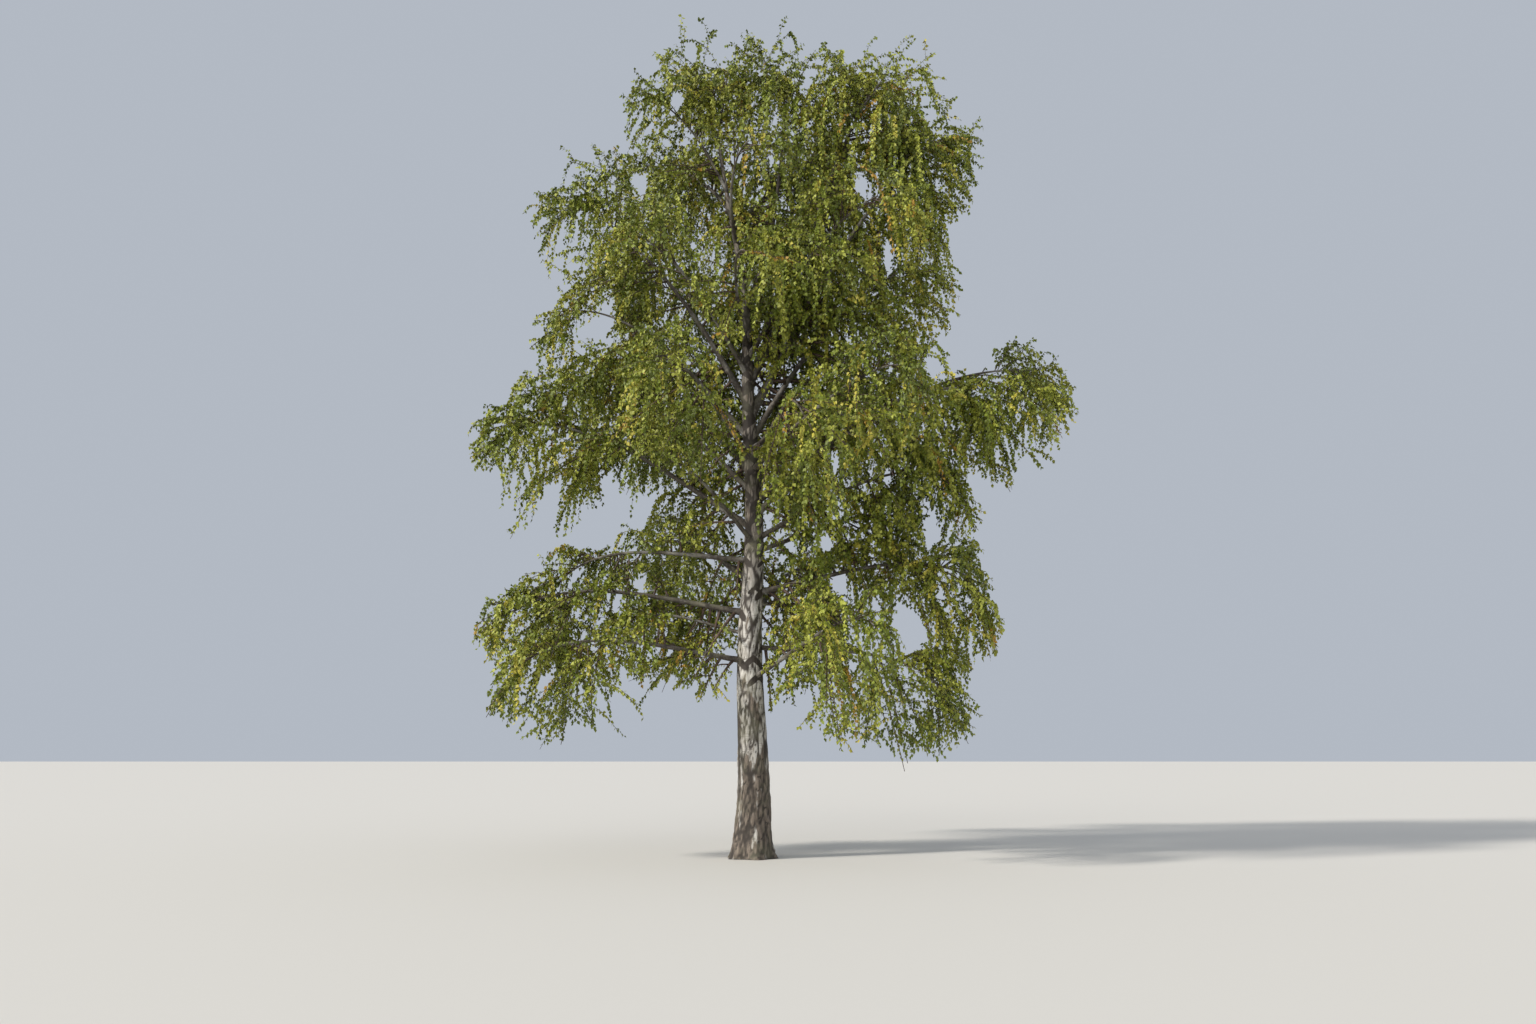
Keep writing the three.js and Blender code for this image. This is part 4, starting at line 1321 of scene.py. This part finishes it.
class BIRCH_OT_twigs(BirchOperator):
    """Builds the twigs and side twigs of every mass of foliage"""

    bl_idname = "birch.twigs"
    bl_label = "Twigs"

    def execute(self, context):
        grown = self.grown(context)
        colours = context.scene.birch_colours
        twigs = tube_arrays(grown["twigs"], grown["twig_roots"], TWIG_TIP_RADIUS, rings=4, sides=4)
        roots = grown["side_roots"]
        side_twigs = tube_arrays(grown["side_twigs"], roots, SIDE_TWIG_TIP_RADIUS, rings=3, sides=3)
        piece = mesh_piece("twigs", *joined_arrays([twigs, side_twigs]))
        finish_piece(piece, twig_material("twig_bark", colours), FOLIAGE_NODES)
        return {"FINISHED"}


class BIRCH_OT_shoots(BirchOperator):
    """Builds the thin shoots that hang from the twigs"""

    bl_idname = "birch.shoots"
    bl_label = "Hanging shoots"

    def execute(self, context):
        shoots = self.grown(context)["shoots"]
        colours = context.scene.birch_colours
        roots = np.full(len(shoots), SHOOT_ROOT_RADIUS)
        piece = mesh_piece("shoots", *tube_arrays(shoots, roots, SHOOT_TIP_RADIUS, rings=2, sides=3))
        finish_piece(piece, twig_material("shoot_bark", colours), FOLIAGE_NODES)
        return {"FINISHED"}


class BIRCH_OT_leaves(BirchOperator):
    """Builds the leaves, one piece for each tint"""

    bl_idname = "birch.leaves"
    bl_label = "Leaves"

    def execute(self, context):
        sizes = context.scene.birch_sizes
        grown = self.grown(context)
        random = np.random.default_rng(TINT_SEED)
        tint_of_leaf = deal_tints(grown["sprays"], random)[grown["spray"]]
        for number, name in enumerate(TINTS):
            own = tint_of_leaf == number
            places = (grown["roots"][own], grown["out"][own], grown["facing"][own])
            arrays = leaf_arrays(*places, sizes.leaf_length, sizes.leaf_width, random)
            piece = mesh_piece("leaves_" + name, *arrays)
            material = leaf_material("leaf_" + name, TINTS[name]["colour"])
            finish_piece(piece, material, FOLIAGE_NODES)
        return {"FINISHED"}


class BIRCH_OT_stage(BirchOperator):
    """Sets the pale floor, the soft light and the camera"""

    bl_idname = "birch.stage"
    bl_label = "Stage"

    def execute(self, context):
        scene = context.scene
        mesh = bmesh.new()
        bmesh.ops.create_grid(mesh, x_segments=1, y_segments=1, size=FLOOR_HALF_WIDTH)
        bmesh.ops.translate(mesh, verts=mesh.verts, vec=(0, 0, -FLOOR_DROP))
        floor = finish_bmesh("floor", mesh)
        material, _, shader = new_material("floor")
        shader.inputs["Base Color"].default_value = FLOOR_COLOUR
        shader.inputs["Roughness"].default_value = 0.9
        floor.data.materials.append(material)

        world = bpy.data.worlds.new("studio")
        world.use_nodes = True
        background = world.node_tree.nodes["Background"]
        background.inputs["Color"].default_value = WORLD_COLOUR
        background.inputs["Strength"].default_value = WORLD_STRENGTH
        scene.world = world

        for name, sun in SUNS.items():
            light = bpy.data.lights.new(name, "SUN")
            light.energy = sun["energy"]
            light.angle = math.radians(sun["degrees"])
            light.color = sun["colour"]
            turn = (-Vector(sun["to"])).to_track_quat("-Z", "Y")
            linked(name, light).rotation_euler = turn.to_euler()

        camera = bpy.data.cameras.new("camera")
        camera.lens = LENS
        camera.sensor_width = SENSOR_WIDTH
        camera.clip_end = VIEW_ENDS
        eye = linked("camera", camera)
        eye.location = VIEWER
        eye.rotation_euler = (math.radians(90 + LOOKS_UP), 0, 0)
        scene.camera = eye
        scene.view_settings.view_transform = "Standard"
        return {"FINISHED"}


class BIRCH_PT_panel(bpy.types.Panel):
    """Lists the birch's sizes, colours and operators"""

    bl_idname = "BIRCH_PT_panel"
    bl_label = "Silver birch"
    bl_space_type = "VIEW_3D"
    bl_region_type = "UI"
    bl_category = "Silver birch"

    def draw(self, context):
        for group in (context.scene.birch_sizes, context.scene.birch_colours):
            box = self.layout.box()
            for name in group.__annotations__:
                box.prop(group, name)
        for operator in OPERATORS:
            self.layout.operator(operator.bl_idname)


OPERATORS = (
    BIRCH_OT_trunk,
    BIRCH_OT_boughs,
    BIRCH_OT_twigs,
    BIRCH_OT_shoots,
    BIRCH_OT_leaves,
    BIRCH_OT_stage,
)
CLASSES = (BirchSizes, BirchColours, *OPERATORS, BIRCH_PT_panel)


def register():
    """Adds the classes and the scene's settings."""
    for cls in CLASSES:
        bpy.utils.register_class(cls)
    bpy.types.Scene.birch_sizes = bpy.props.PointerProperty(type=BirchSizes)
    bpy.types.Scene.birch_colours = bpy.props.PointerProperty(type=BirchColours)


def unregister():
    """Takes the classes and the scene's settings away."""
    del bpy.types.Scene.birch_colours
    del bpy.types.Scene.birch_sizes
    for cls in reversed(CLASSES):
        bpy.utils.unregister_class(cls)


def main():
    """Builds everything."""
    register()
    bpy.ops.birch.trunk()
    bpy.ops.birch.boughs()
    bpy.ops.birch.twigs()
    bpy.ops.birch.shoots()
    bpy.ops.birch.leaves()
    bpy.ops.birch.stage()


if __name__ == "__main__":
    main()
